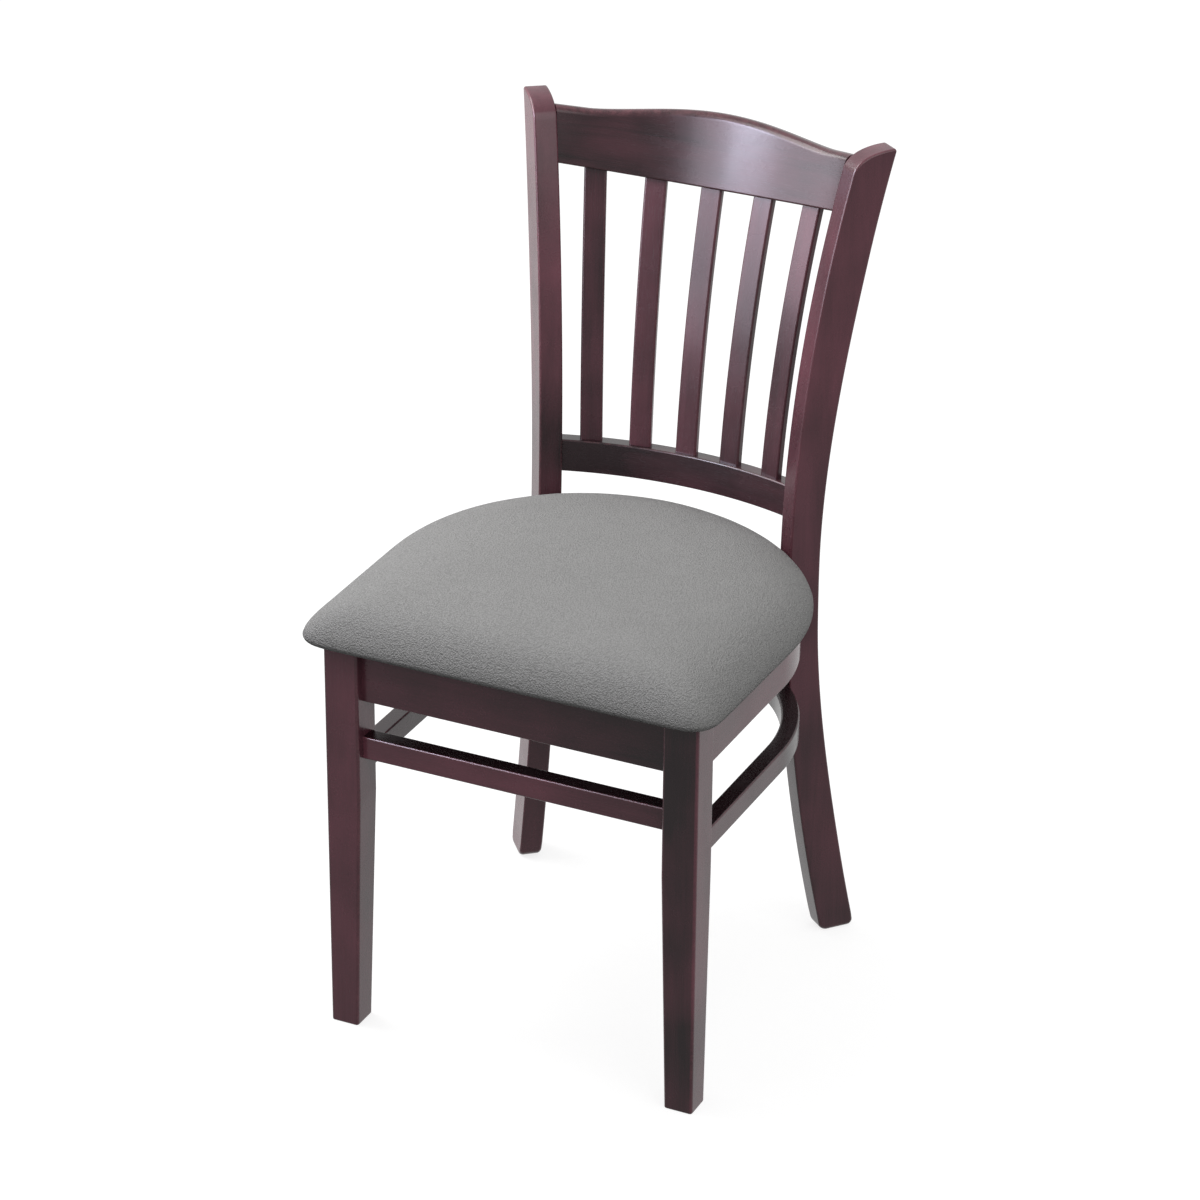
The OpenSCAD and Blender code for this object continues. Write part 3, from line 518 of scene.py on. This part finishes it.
def filledForm():
    # a slightly smaller copy of the pad in even cells, its underside held, blown up by air as cloth without
    # weight
    grid = padGrid(pocket=False)
    z = seatH + (grid[..., 2] - seatH) * (1 - filling["lower"] / pad["h"])
    y = pad["midY"] + (grid[..., 1] - pad["midY"]) * filling["smaller"]
    form = skin("pad_form", seated(grid[..., 0] * filling["smaller"], y, z), {}, sharp=60, pole=True)
    even = form.modifiers.new("even cells", "REMESH")
    even.mode, even.voxel_size = "VOXEL", filling["voxel"]
    mesh = bpy.data.meshes.new_from_object(form.evaluated_get(bpy.context.evaluated_depsgraph_get()))
    form.modifiers.clear()
    form.data = mesh
    held = form.vertex_groups.new(name="held")
    held.add([v.index for v in mesh.vertices if v.co.z < (seatH + filling["heldH"]) * mm], 1, "REPLACE")
    cloth = form.modifiers.new("air", "CLOTH")
    cloth.settings.quality = filling["quality"]
    cloth.settings.mass = filling["mass"]
    cloth.settings.tension_stiffness = cloth.settings.compression_stiffness = filling["stiffness"]
    cloth.settings.bending_stiffness = filling["bending"]
    cloth.settings.use_pressure = True
    cloth.settings.uniform_pressure_force = filling["pressure"]
    cloth.settings.effector_weights.gravity = 0
    cloth.settings.vertex_group_mass = held.name
    cloth.collision_settings.use_collision = False
    cloth.point_cache.frame_end = filling["frames"]
    for frameNow in range(1, filling["frames"] + 1):
        bpy.context.scene.frame_set(frameNow)
    surface = BVHTree.FromObject(form, bpy.context.evaluated_depsgraph_get())
    bpy.data.objects.remove(form)
    bpy.context.scene.frame_set(1)
    return surface


def softened(values, sigma):
    # mean of the neighbours under a bell curve, round the rings and across them
    reach = np.arange(-3 * sigma, 3 * sigma + 1)
    kernel = np.exp(-0.5 * (reach / sigma) ** 2)
    kernel /= kernel.sum()
    values = sum(w * np.roll(values, s, 1) for w, s in zip(kernel, reach))
    index = np.arange(len(values))
    return sum(w * values[np.clip(index + s, 0, len(values) - 1)] for w, s in zip(kernel, reach))


def swell(piece, rings, ring):
    # the outer skin moves along its normals by the blown-up form's relief, softened, faded out towards the
    # lower edge and scaled down until the largest move is the most allowed
    surface = filledForm()
    count = rings * ring
    normals, points = np.zeros(len(piece.data.vertices) * 3), np.zeros(len(piece.data.vertices) * 3)
    piece.data.vertices.foreach_get("normal", normals)
    piece.data.vertices.foreach_get("co", points)
    normals, points = normals.reshape(-1, 3), points.reshape(-1, 3)
    reach = filling["reach"]
    moved = np.zeros(count)
    for i in range(count):
        outward = Vector(normals[i])
        hit = surface.ray_cast(Vector(points[i]) + outward * reach, -outward, 2 * reach)
        moved[i] = reach - hit[3] if hit[0] else np.nan
    moved[np.isnan(moved)] = np.nanmedian(moved)
    moved = softened((moved - np.median(moved)).reshape(rings, ring) / mm, filling["soften"])
    height = points[:count, 2].reshape(rings, ring) / mm - seatH
    moved *= ease((height - filling["fadeFrom"]) / filling["fadeOver"])
    print("relief of the blown-up form", round(moved.min(), 2), "to", round(moved.max(), 2), "mm")
    moved *= min(1, filling["most"] / np.abs(moved).max())
    points[:count] += normals[:count] * moved.reshape(-1, 1) * mm
    points[len(points) - 2] = points[:ring].mean(0)  # the pole on top
    piece.data.vertices.foreach_set("co", points.ravel())
    piece.data.update()


grid = padGrid()
cushion = skin("vinyl_seat_pad", seated(grid[..., 0], grid[..., 1], grid[..., 2]), {}, sharp=60, pole=True)
swell(cushion, pad["crownSteps"] + pad["rollSteps"] - 1, grid.shape[1])
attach(cushion, "root")
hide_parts("seat_cover", "seat_foam")
print("pad made")


def blockPlan():
    # a triangle in the corner of front apron and bent apron, notched for the leg
    inner, hoopIn, frontY, w, leg = 167, 179.5, 29.5, legs["w"], 62
    return np.array([[inner - leg, frontY], [inner, frontY], [inner, w],
                     [hoopIn, w], [hoopIn, w + leg]], float)


def cleatPlan():
    # a block whose rear follows the inside of the bent apron, a circle of radius r about its centre
    centre, r, half, depth = 223.734, 179.5, 60, 30
    x = np.linspace(half, -half, 25)
    rear = np.stack([x, centre + np.sqrt(r * r - x * x)], -1)
    frontY = centre + r - depth
    return np.concatenate([rear, [[-half, frontY], [half, frontY]]])


def block(name, node, plan, side, seed):
    # a flat block under the board: its plan carried over its height, with eased edges
    drawn, height, edge = plateRings(plan, 30, 1.2, 3)
    x, y = side * drawn[..., 0], drawn[..., 1]
    z = seatH - 15 + height
    return place(name, node, "inner_wood", seated(x, y, z), (x - y, x + y, z), edge, seed, sharp=50)


inner = [block("left_block", "corner_block_left", blockPlan(), -1, 21),
         block("right_block", "corner_block_right", blockPlan(), 1, 22),
         block("rear_cleat", "rear_seat_cleat", cleatPlan(), 1, 23)]


dustCloth = {"inset": pad["margin"] + 0.4, "edge": 0.35, "thick": 0.6, "slack": 2.2}


def dustSheet():
    # thin cloth under the board: rings of the plan inside the margin, with a slack that fades out towards the
    # rim, the front and the cleat, and ripples of two crossing sine waves
    share = np.concatenate([[1], np.linspace(0.985, 0.03, 40)])
    plan = np.stack([padRing(dustCloth["inset"], s, 0) for s in share])
    x, y = plan[..., 0], plan[..., 1]
    slack = np.clip((0.93 - share[:, None]) / 0.3, 0, 1) * np.clip((y - 70) / 60, 0, 1) \
        * np.clip((370 - y) / 40, 0, 1)
    ripple = 0.5 * np.sin(x / 19 + np.sin(y / 31)) + 0.4 * np.sin(y / 23 + x / 47)
    bottom = seatH + dustCloth["edge"] - slack * (dustCloth["slack"] + ripple)
    lowGrid = np.stack([x, y, bottom], -1)
    topGrid = np.stack([x, y, bottom + dustCloth["thick"]], -1)
    return np.concatenate([topGrid[::-1], lowGrid])


grid = dustSheet()
dust = skin("dust_cloth_sheet", seated(grid[..., 0], grid[..., 1], grid[..., 2]), {}, sharp=60, pole=True)
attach(dust, "root")
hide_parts("dust_cover")
ring = padRing(dustCloth["inset"], 1, 0)
print("blocks, cleat and dust cloth made")


def put(tree, kind, inputs=(), **settings):
    # a node with its settings, each input given a value or joined to another node's output
    node = tree.nodes.new("ShaderNode" + kind)
    for key, value in settings.items():
        setattr(node, key, value)
    for key, value in dict(inputs).items():
        if isinstance(value, bpy.types.NodeSocket):
            tree.links.new(value, node.inputs[key])
        else:
            node.inputs[key].default_value = value
    return node


def calc(tree, operation, *values, clamp=False):
    return put(tree, "Math", enumerate(values), operation=operation, use_clamp=clamp).outputs[0]


def stretched(tree, vector, scale):
    return put(tree, "VectorMath", {0: vector, 1: scale}, operation="MULTIPLY").outputs[0]


def noise(tree, vector, scale=1.0, detail=3.0, rough=0.5, twist=0.0):
    return put(tree, "TexNoise", {"Vector": vector, "Scale": scale, "Detail": detail,
                                  "Roughness": rough, "Distortion": twist}).outputs["Fac"]


def between(tree, value, low, high, newLow=0.0, newHigh=1.0):
    # a value's range moved to another, held inside it
    return put(tree, "MapRange", {"Value": value, "From Min": low, "From Max": high,
                                  "To Min": newLow, "To Max": newHigh}, clamp=True).outputs[0]


def blend(tree, share, a, b, kind="MIX"):
    return put(tree, "Mix", {0: share, 6: a, 7: b}, data_type="RGBA", blend_type=kind).outputs[2]


def newGroup(name, inputs, outputs):
    tree = bpy.data.node_groups.new(name, "ShaderNodeTree")
    for way, sockets in (("INPUT", inputs), ("OUTPUT", outputs)):
        for key, kind in sockets.items():
            tree.interface.new_socket(key, in_out=way, socket_type="NodeSocket" + kind)
    return tree, tree.nodes.new("NodeGroupInput").outputs, tree.nodes.new("NodeGroupOutput").inputs


def grainGroup():
    # timber under stain and lacquer: broad figure, fine streaks, clouds of stain, short pores, a few nicks
    # and paler arrises
    tree, given, out = newGroup("timber grain", {
        "Place": "Vector", "Edge": "Float", "Tone": "Float", "Dark": "Color", "Light": "Color",
        "Worn": "Color", "Edge Wear": "Float", "Pores": "Float", "Nicks": "Float", "Shine": "Float"},
        {"Color": "Color", "Roughness": "Float", "Height": "Float"})
    place = given["Place"]
    figure = noise(tree, stretched(tree, place, (5, 42, 42)), 1, 3, 0.55, 0.6)
    streaks = noise(tree, stretched(tree, place, (14, 620, 620)), 1, 4, 0.6)
    clouds = noise(tree, place, 9, 2, 0.5)
    dashes = noise(tree, stretched(tree, place, (95, 2300, 2300)), 1, 2, 0.5)
    pores = calc(tree, "MULTIPLY", between(tree, dashes, 0.6, 0.72), given["Pores"])
    mixed = calc(tree, "ADD", calc(tree, "MULTIPLY", figure, 0.72), calc(tree, "MULTIPLY", streaks, 0.28))
    mixed = calc(tree, "ADD", between(tree, mixed, 0.3, 0.7, -0.17, 0.17), given["Tone"])
    mixed = calc(tree, "ADD", mixed, between(tree, clouds, 0.34, 0.66, -0.17, 0.17), clamp=True)
    color = blend(tree, mixed, given["Dark"], given["Light"])
    color = blend(tree, pores, color, (0.004, 0.002, 0.002, 1))
    spots = put(tree, "TexVoronoi", {"Vector": place, "Scale": 55.0}).outputs
    few = between(tree, put(tree, "SeparateColor", {0: spots["Color"]}).outputs[0], 0.94, 0.95)
    nicks = calc(tree, "MULTIPLY", between(tree, spots["Distance"], 0.045, 0.02), few)
    nicks = calc(tree, "MULTIPLY", nicks, given["Nicks"])
    color = blend(tree, nicks, color, (0.006, 0.003, 0.003, 1))
    rub = noise(tree, place, 130, 4, 0.65)
    worn = calc(tree, "MULTIPLY", given["Edge"], between(tree, rub, 0.35, 0.7))
    worn = calc(tree, "MULTIPLY", worn, given["Edge Wear"], clamp=True)
    tree.links.new(blend(tree, worn, color, given["Worn"]), out["Color"])
    ripple = noise(tree, place, 260, 3, 0.5)
    haze = noise(tree, place, 24, 4, 0.6)
    rough = calc(tree, "ADD", given["Shine"], between(tree, haze, 0.3, 0.7, -0.035, 0.05))
    rough = calc(tree, "ADD", rough, calc(tree, "MULTIPLY", pores, 0.2))
    tree.links.new(calc(tree, "ADD", rough, calc(tree, "MULTIPLY", worn, 0.08)), out["Roughness"])
    height = calc(tree, "ADD", calc(tree, "MULTIPLY", streaks, 0.5), calc(tree, "MULTIPLY", ripple, 0.35))
    height = calc(tree, "SUBTRACT", height, calc(tree, "MULTIPLY", pores, 0.6))
    tree.links.new(calc(tree, "SUBTRACT", height, calc(tree, "MULTIPLY", nicks, 0.8)), out["Height"])
    return tree


def finish(name, group, inputs, bump, constants):
    # a material whose colour, roughness and bump come from a group, with plain values on the shader itself
    made = bpy.data.materials.new(name)
    made.use_nodes = True
    tree = made.node_tree
    shader = tree.nodes["Principled BSDF"]
    effect = tree.nodes.new("ShaderNodeGroup")
    effect.node_tree = group
    for key, value in inputs(tree).items():
        if isinstance(value, bpy.types.NodeSocket):
            tree.links.new(value, effect.inputs[key])
        else:
            effect.inputs[key].default_value = value
    tree.links.new(effect.outputs["Color"], shader.inputs["Base Color"])
    tree.links.new(effect.outputs["Roughness"], shader.inputs["Roughness"])
    raised = put(tree, "Bump", {"Height": effect.outputs["Height"],
                                "Distance": bump[0], "Strength": bump[1]})
    tree.links.new(raised.outputs[0], shader.inputs["Normal"])
    for key, value in constants.items():
        shader.inputs[key].default_value = value
    return made


def attribute(tree, name, output):
    return put(tree, "Attribute", attribute_name=name).outputs[output]


def ownPlace(tree):
    return put(tree, "TexCoord").outputs["Object"]


def timberInputs(look, shaped):
    # what the grain group is given: a made piece has its own grain, edge and tone, a CAD node only its place
    def inputs(tree):
        if shaped:
            own = {"Place": attribute(tree, "grain", "Vector"), "Edge": attribute(tree, "edge", "Fac"),
                   "Tone": attribute(tree, "tone", "Fac")}
        else:
            own = {"Place": ownPlace(tree), "Edge": 0.0, "Tone": 0.5}
        return {**own, "Dark": look["dark"], "Light": look["light"], "Worn": look["worn"],
                "Edge Wear": look["wear"], "Pores": look["pores"], "Nicks": look["nicks"],
                "Shine": look["shine"]}
    return inputs


stain = {"dark": (0.02, 0.008, 0.0105, 1), "light": (0.215, 0.068, 0.096, 1), "worn": (0.27, 0.09, 0.11, 1),
         "shine": 0.25, "wear": 0.34, "pores": 0.35, "nicks": 0.85, "coat": 0.15, "coatRoughness": 0.12}
beech = {"dark": (0.36, 0.2, 0.1, 1), "light": (0.6, 0.4, 0.22, 1), "worn": (0.66, 0.47, 0.28, 1),
         "shine": 0.62, "wear": 0.6, "pores": 0.35, "nicks": 0.0}
timber = grainGroup()
stainedLook = finish("stained timber", timber, timberInputs(stain, True), (0.0002, 0.25),
                     {"Coat Weight": stain["coat"], "Coat Roughness": stain["coatRoughness"], "IOR": 1.5})
blockLook = finish("raw beech", timber, timberInputs(beech, True), (0.0003, 0.5), {"IOR": 1.45})
coreLook = finish("raw beech core", timber, timberInputs(beech, False), (0.0003, 0.5), {"IOR": 1.45})


def pebbleGroup():
    # embossed leathercloth: rounded pebbles about a millimetre and a half across, with creases between them
    # that are coloured darker as painted shade
    tree, given, out = newGroup("pebbled leathercloth", {
        "Place": "Vector", "Tint": "Color", "Crease Shade": "Color", "Size": "Float"},
        {"Color": "Color", "Roughness": "Float", "Height": "Float"})
    place = given["Place"]
    bent = put(tree, "TexNoise", {"Vector": place, "Scale": 300.0, "Detail": 2.0}).outputs["Color"]
    bent = put(tree, "VectorMath", {0: place, 1: stretched(tree, bent, (0.0016, 0.0016, 0.0016))},
               operation="ADD").outputs[0]
    cells = put(tree, "TexVoronoi", {"Vector": bent, "Scale": given["Size"], "Smoothness": 0.55},
                feature="SMOOTH_F1").outputs["Distance"]
    fine = noise(tree, place, 2600, 2, 0.6)
    folds = noise(tree, place, 190, 3, 0.6)
    crease = between(tree, cells, 0.42, 0.62)
    mottle = noise(tree, place, 26, 2, 0.5)
    broad = noise(tree, place, 6, 2, 0.5)
    # painted shade: the creases between the pebbles take the darker crease colour
    color = blend(tree, calc(tree, "MULTIPLY", crease, 0.45), given["Tint"], given["Crease Shade"])
    light = calc(tree, "ADD", between(tree, mottle, 0.3, 0.7, 0.98, 1.02),
                 between(tree, broad, 0.35, 0.65, -0.015, 0.015))
    grey = put(tree, "CombineColor", {0: light, 1: light, 2: light}).outputs[0]
    tree.links.new(blend(tree, 1.0, color, grey, "MULTIPLY"), out["Color"])
    tree.links.new(calc(tree, "ADD", between(tree, mottle, 0.3, 0.7, 0.56, 0.64),
                        calc(tree, "MULTIPLY", crease, 0.14)), out["Roughness"])
    height = calc(tree, "SUBTRACT", 1.0, cells)
    height = calc(tree, "ADD", height, calc(tree, "MULTIPLY", fine, 0.12))
    tree.links.new(calc(tree, "ADD", height, calc(tree, "MULTIPLY", folds, 0.5)), out["Height"])
    return tree


# crease is a painted shade colour for the hollows between the pebbles
vinyl = {"tint": (0.272, 0.27, 0.267, 1), "crease": (0.17, 0.169, 0.167, 1), "cells": 620.0}
vinylLook = finish("grey leathercloth", pebbleGroup(), lambda tree: {
    "Place": ownPlace(tree), "Tint": vinyl["tint"], "Crease Shade": vinyl["crease"], "Size": vinyl["cells"]},
    (0.0009, 1.0), {"IOR": 1.5, "Specular IOR Level": 0.12})


def feltGroup():
    # non-woven cloth: two layers of crossing fibres pressed into a thin sheet
    tree, given, out = newGroup("pressed fibres", {"Place": "Vector", "Thread": "Color", "Gap": "Color"},
                                {"Color": "Color", "Roughness": "Float", "Height": "Float"})
    one = noise(tree, stretched(tree, given["Place"], (420, 1900, 900)), 1, 3, 0.7, 1.2)
    other = noise(tree, stretched(tree, given["Place"], (1700, 380, 900)), 1, 3, 0.7, 1.2)
    fibres = calc(tree, "MAXIMUM", one, other)
    dots = put(tree, "TexVoronoi", {"Vector": given["Place"], "Scale": 420.0}).outputs["Distance"]
    pressed = between(tree, dots, 0.12, 0.25)
    thread = between(tree, fibres, 0.45, 0.75)
    tree.links.new(blend(tree, thread, given["Gap"], given["Thread"]), out["Color"])
    tree.links.new(between(tree, fibres, 0.3, 0.8, 0.95, 0.78), out["Roughness"])
    tree.links.new(calc(tree, "ADD", fibres, calc(tree, "MULTIPLY", pressed, 0.4)), out["Height"])
    return tree


dustLook = finish("black dust cloth", feltGroup(), lambda tree: {
    "Place": ownPlace(tree), "Thread": (0.035, 0.035, 0.038, 1), "Gap": (0.008, 0.008, 0.009, 1)},
    (0.0003, 0.6), {"IOR": 1.4})


def turnedSteelGroup():
    # zinc-plated steel: fine turning marks, blotches of plating and a little tarnish
    tree, given, out = newGroup("plated steel", {"Place": "Vector", "Bright": "Color", "Dull": "Color"},
                                {"Color": "Color", "Roughness": "Float", "Height": "Float"})
    blotch = noise(tree, given["Place"], 320, 4, 0.6)
    marks = noise(tree, stretched(tree, given["Place"], (900, 900, 5200)), 1, 2, 0.5)
    tarnish = between(tree, blotch, 0.4, 0.68)
    tree.links.new(blend(tree, tarnish, given["Bright"], given["Dull"]), out["Color"])
    tree.links.new(between(tree, blotch, 0.3, 0.7, 0.28, 0.46), out["Roughness"])
    tree.links.new(marks, out["Height"])
    return tree


steelLook = finish("zinc-plated steel", turnedSteelGroup(), lambda tree: {
    "Place": ownPlace(tree), "Bright": (0.62, 0.61, 0.58, 1), "Dull": (0.4, 0.38, 0.33, 1)},
    (0.0001, 0.3), {"Metallic": 1.0})

for pieces, look in ((wooden, stainedLook), (inner, blockLook), ([cushion], vinylLook), ([dust], dustLook)):
    for piece in pieces:
        piece.data.materials.append(look)
for node, look in {"seat_board": coreLook, "apron_dowels": coreLook, "hoop_dowels": coreLook,
                   "stretcher_dowels": coreLook, "crest_dowels": coreLook, "rail_dowels": coreLook,
                   "post_screws": steelLook, "block_screws": steelLook, "seat_screws": steelLook}.items():
    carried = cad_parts[node]
    carried.data.materials.clear()
    carried.data.materials.append(look)
print("finishes made")

view = {"azimuth": 25.45, "elevation": 26.35, "roll": -0.42, "lens": 129.2, "eye": (1.680, -3.5591, 2.374)}
az, el, roll = view["azimuth"], view["elevation"], view["roll"]
forward = np.array([-sin(az) * cos(el), cos(az) * cos(el), -sin(el)])
right = np.array([cos(az), sin(az), 0])
down = np.cross(forward, right)
imageRight = cos(roll) * right + sin(roll) * down
imageDown = -sin(roll) * right + cos(roll) * down
camera = bpy.data.objects.new("camera", bpy.data.cameras.new("camera"))
bpy.context.scene.collection.objects.link(camera)
camera.data.sensor_width = 36
camera.data.lens = view["lens"]
camera.data.clip_end = 60
turned = np.eye(4)
turned[:3, 0], turned[:3, 1], turned[:3, 2], turned[:3, 3] = imageRight, -imageDown, -forward, view["eye"]
camera.matrix_world = Matrix(turned.tolist())
bpy.context.scene.camera = camera

studio = {"floor": (0.32, 0.32, 0.32, 1), "specks": (0.3, 0.3, 0.3, 1), "floorGlow": 0.8,
          "bounce": (0.06, 0.06, 0.06, 1), "sky": (0.0, 1.1), "dim": 0.45, "behind": (0.95, 0.7),
          "fill": {"power": 0.7, "angle": 50, "from": (0.78, -0.4, 0.48)},
          "overhead": {"power": 17, "size": (1.0, 1.0), "at": (-0.95, -0.05, 1.6), "tint": (1.0, 1.0, 1.0)},
          "window": {"power": 61, "size": (2.9, 1.6), "at": (-1.6, -1.28, 1.26), "tint": (0.92, 0.88, 1.0)},
          "core": {"power": 37, "size": (0.66, 0.97), "at": (-1.2, -1.36, 1.65), "tint": (0.77, 0.8, 1.0)}}
floor = bpy.data.objects.new("floor", bpy.data.meshes.new("floor"))
floor.data.from_pydata([(-15, -15, 0), (15, -15, 0), (15, 15, 0), (-15, 15, 0)], [], [(0, 1, 2, 3)])
bpy.context.scene.collection.objects.link(floor)
floor.visible_glossy = False  # reflections show the studio around the chair instead
floorLook = bpy.data.materials.new("pale floor")
floorLook.use_nodes = True
tree = floorLook.node_tree
shader = tree.nodes["Principled BSDF"]
rays = put(tree, "LightPath").outputs
specks = noise(tree, ownPlace(tree), 40, 3)
pale = blend(tree, specks, studio["specks"], studio["floor"])
tree.links.new(blend(tree, rays["Is Diffuse Ray"], pale, studio["bounce"]), shader.inputs["Base Color"])
shader.inputs["Roughness"].default_value = 0.9
shader.inputs["Specular IOR Level"].default_value = 0.0
shader.inputs["Emission Color"].default_value = (1, 1, 1, 1)
glow = calc(tree, "MULTIPLY", rays["Is Camera Ray"], studio["floorGlow"])
tree.links.new(glow, shader.inputs["Emission Strength"])
clear = put(tree, "BsdfTransparent").outputs[0]
below = put(tree, "NewGeometry").outputs["Backfacing"]  # from below the floor doesn't hide the chair
surface = put(tree, "MixShader", {0: below, 1: shader.outputs[0], 2: clear}).outputs[0]
tree.links.new(surface, tree.nodes["Material Output"].inputs["Surface"])
floor.data.materials.append(floorLook)

# diffuse light comes from above; reflections show a white backdrop behind the chair, brighter on the left,
# and a dim room on the camera's side; the camera sees white all round
world = bpy.data.worlds.new("studio")
bpy.context.scene.world = world
world.use_nodes = True
tree = world.node_tree
rays = put(tree, "LightPath").outputs
toward = put(tree, "SeparateXYZ", {0: put(tree, "TexCoord").outputs["Generated"]}).outputs
bright = between(tree, toward["X"], -0.8, 0.8, *studio["behind"])
backdrop = between(tree, toward["Y"], -0.25, 0.3, studio["dim"], bright)
overhead = between(tree, toward["Z"], 0.1, 1.0, *studio["sky"])
white = calc(tree, "MAXIMUM", rays["Is Camera Ray"], rays["Is Transmission Ray"])
level = between(tree, rays["Is Glossy Ray"], 0, 1, overhead, backdrop)
level = between(tree, white, 0, 1, level, 1.0)
tree.links.new(level, tree.nodes["Background"].inputs["Strength"])
tree.nodes["Background"].inputs["Color"].default_value = (1, 1, 1, 1)


def lamp(name, kind, energy, aim, **settings):
    # a light that shines along aim
    light = bpy.data.lights.new(name, kind)
    light.energy = energy
    for key, value in settings.items():
        setattr(light, key, value)
    made = bpy.data.objects.new(name, light)
    bpy.context.scene.collection.objects.link(made)
    made.rotation_euler = Vector(aim).to_track_quat("-Z", "Y").to_euler()
    return made


sun = studio["fill"]
lamp("fill", "SUN", sun["power"], [-a for a in sun["from"]], angle=math.radians(sun["angle"]))
for name, height in (("overhead", 0.5), ("window", 0.85), ("core", 0.85)):
    box = studio[name]
    aim = Vector((0, 0.1, height)) - Vector(box["at"])
    softbox = lamp(name, "AREA", box["power"], aim, shape="RECTANGLE", size=box["size"][0],
                   size_y=box["size"][1], color=box["tint"])
    softbox.location = box["at"]
    softbox.visible_diffuse = name == "overhead"  # the others are only there for the lacquer's reflections
bpy.context.scene.view_settings.view_transform = "Standard"
print("camera, floor and light set")
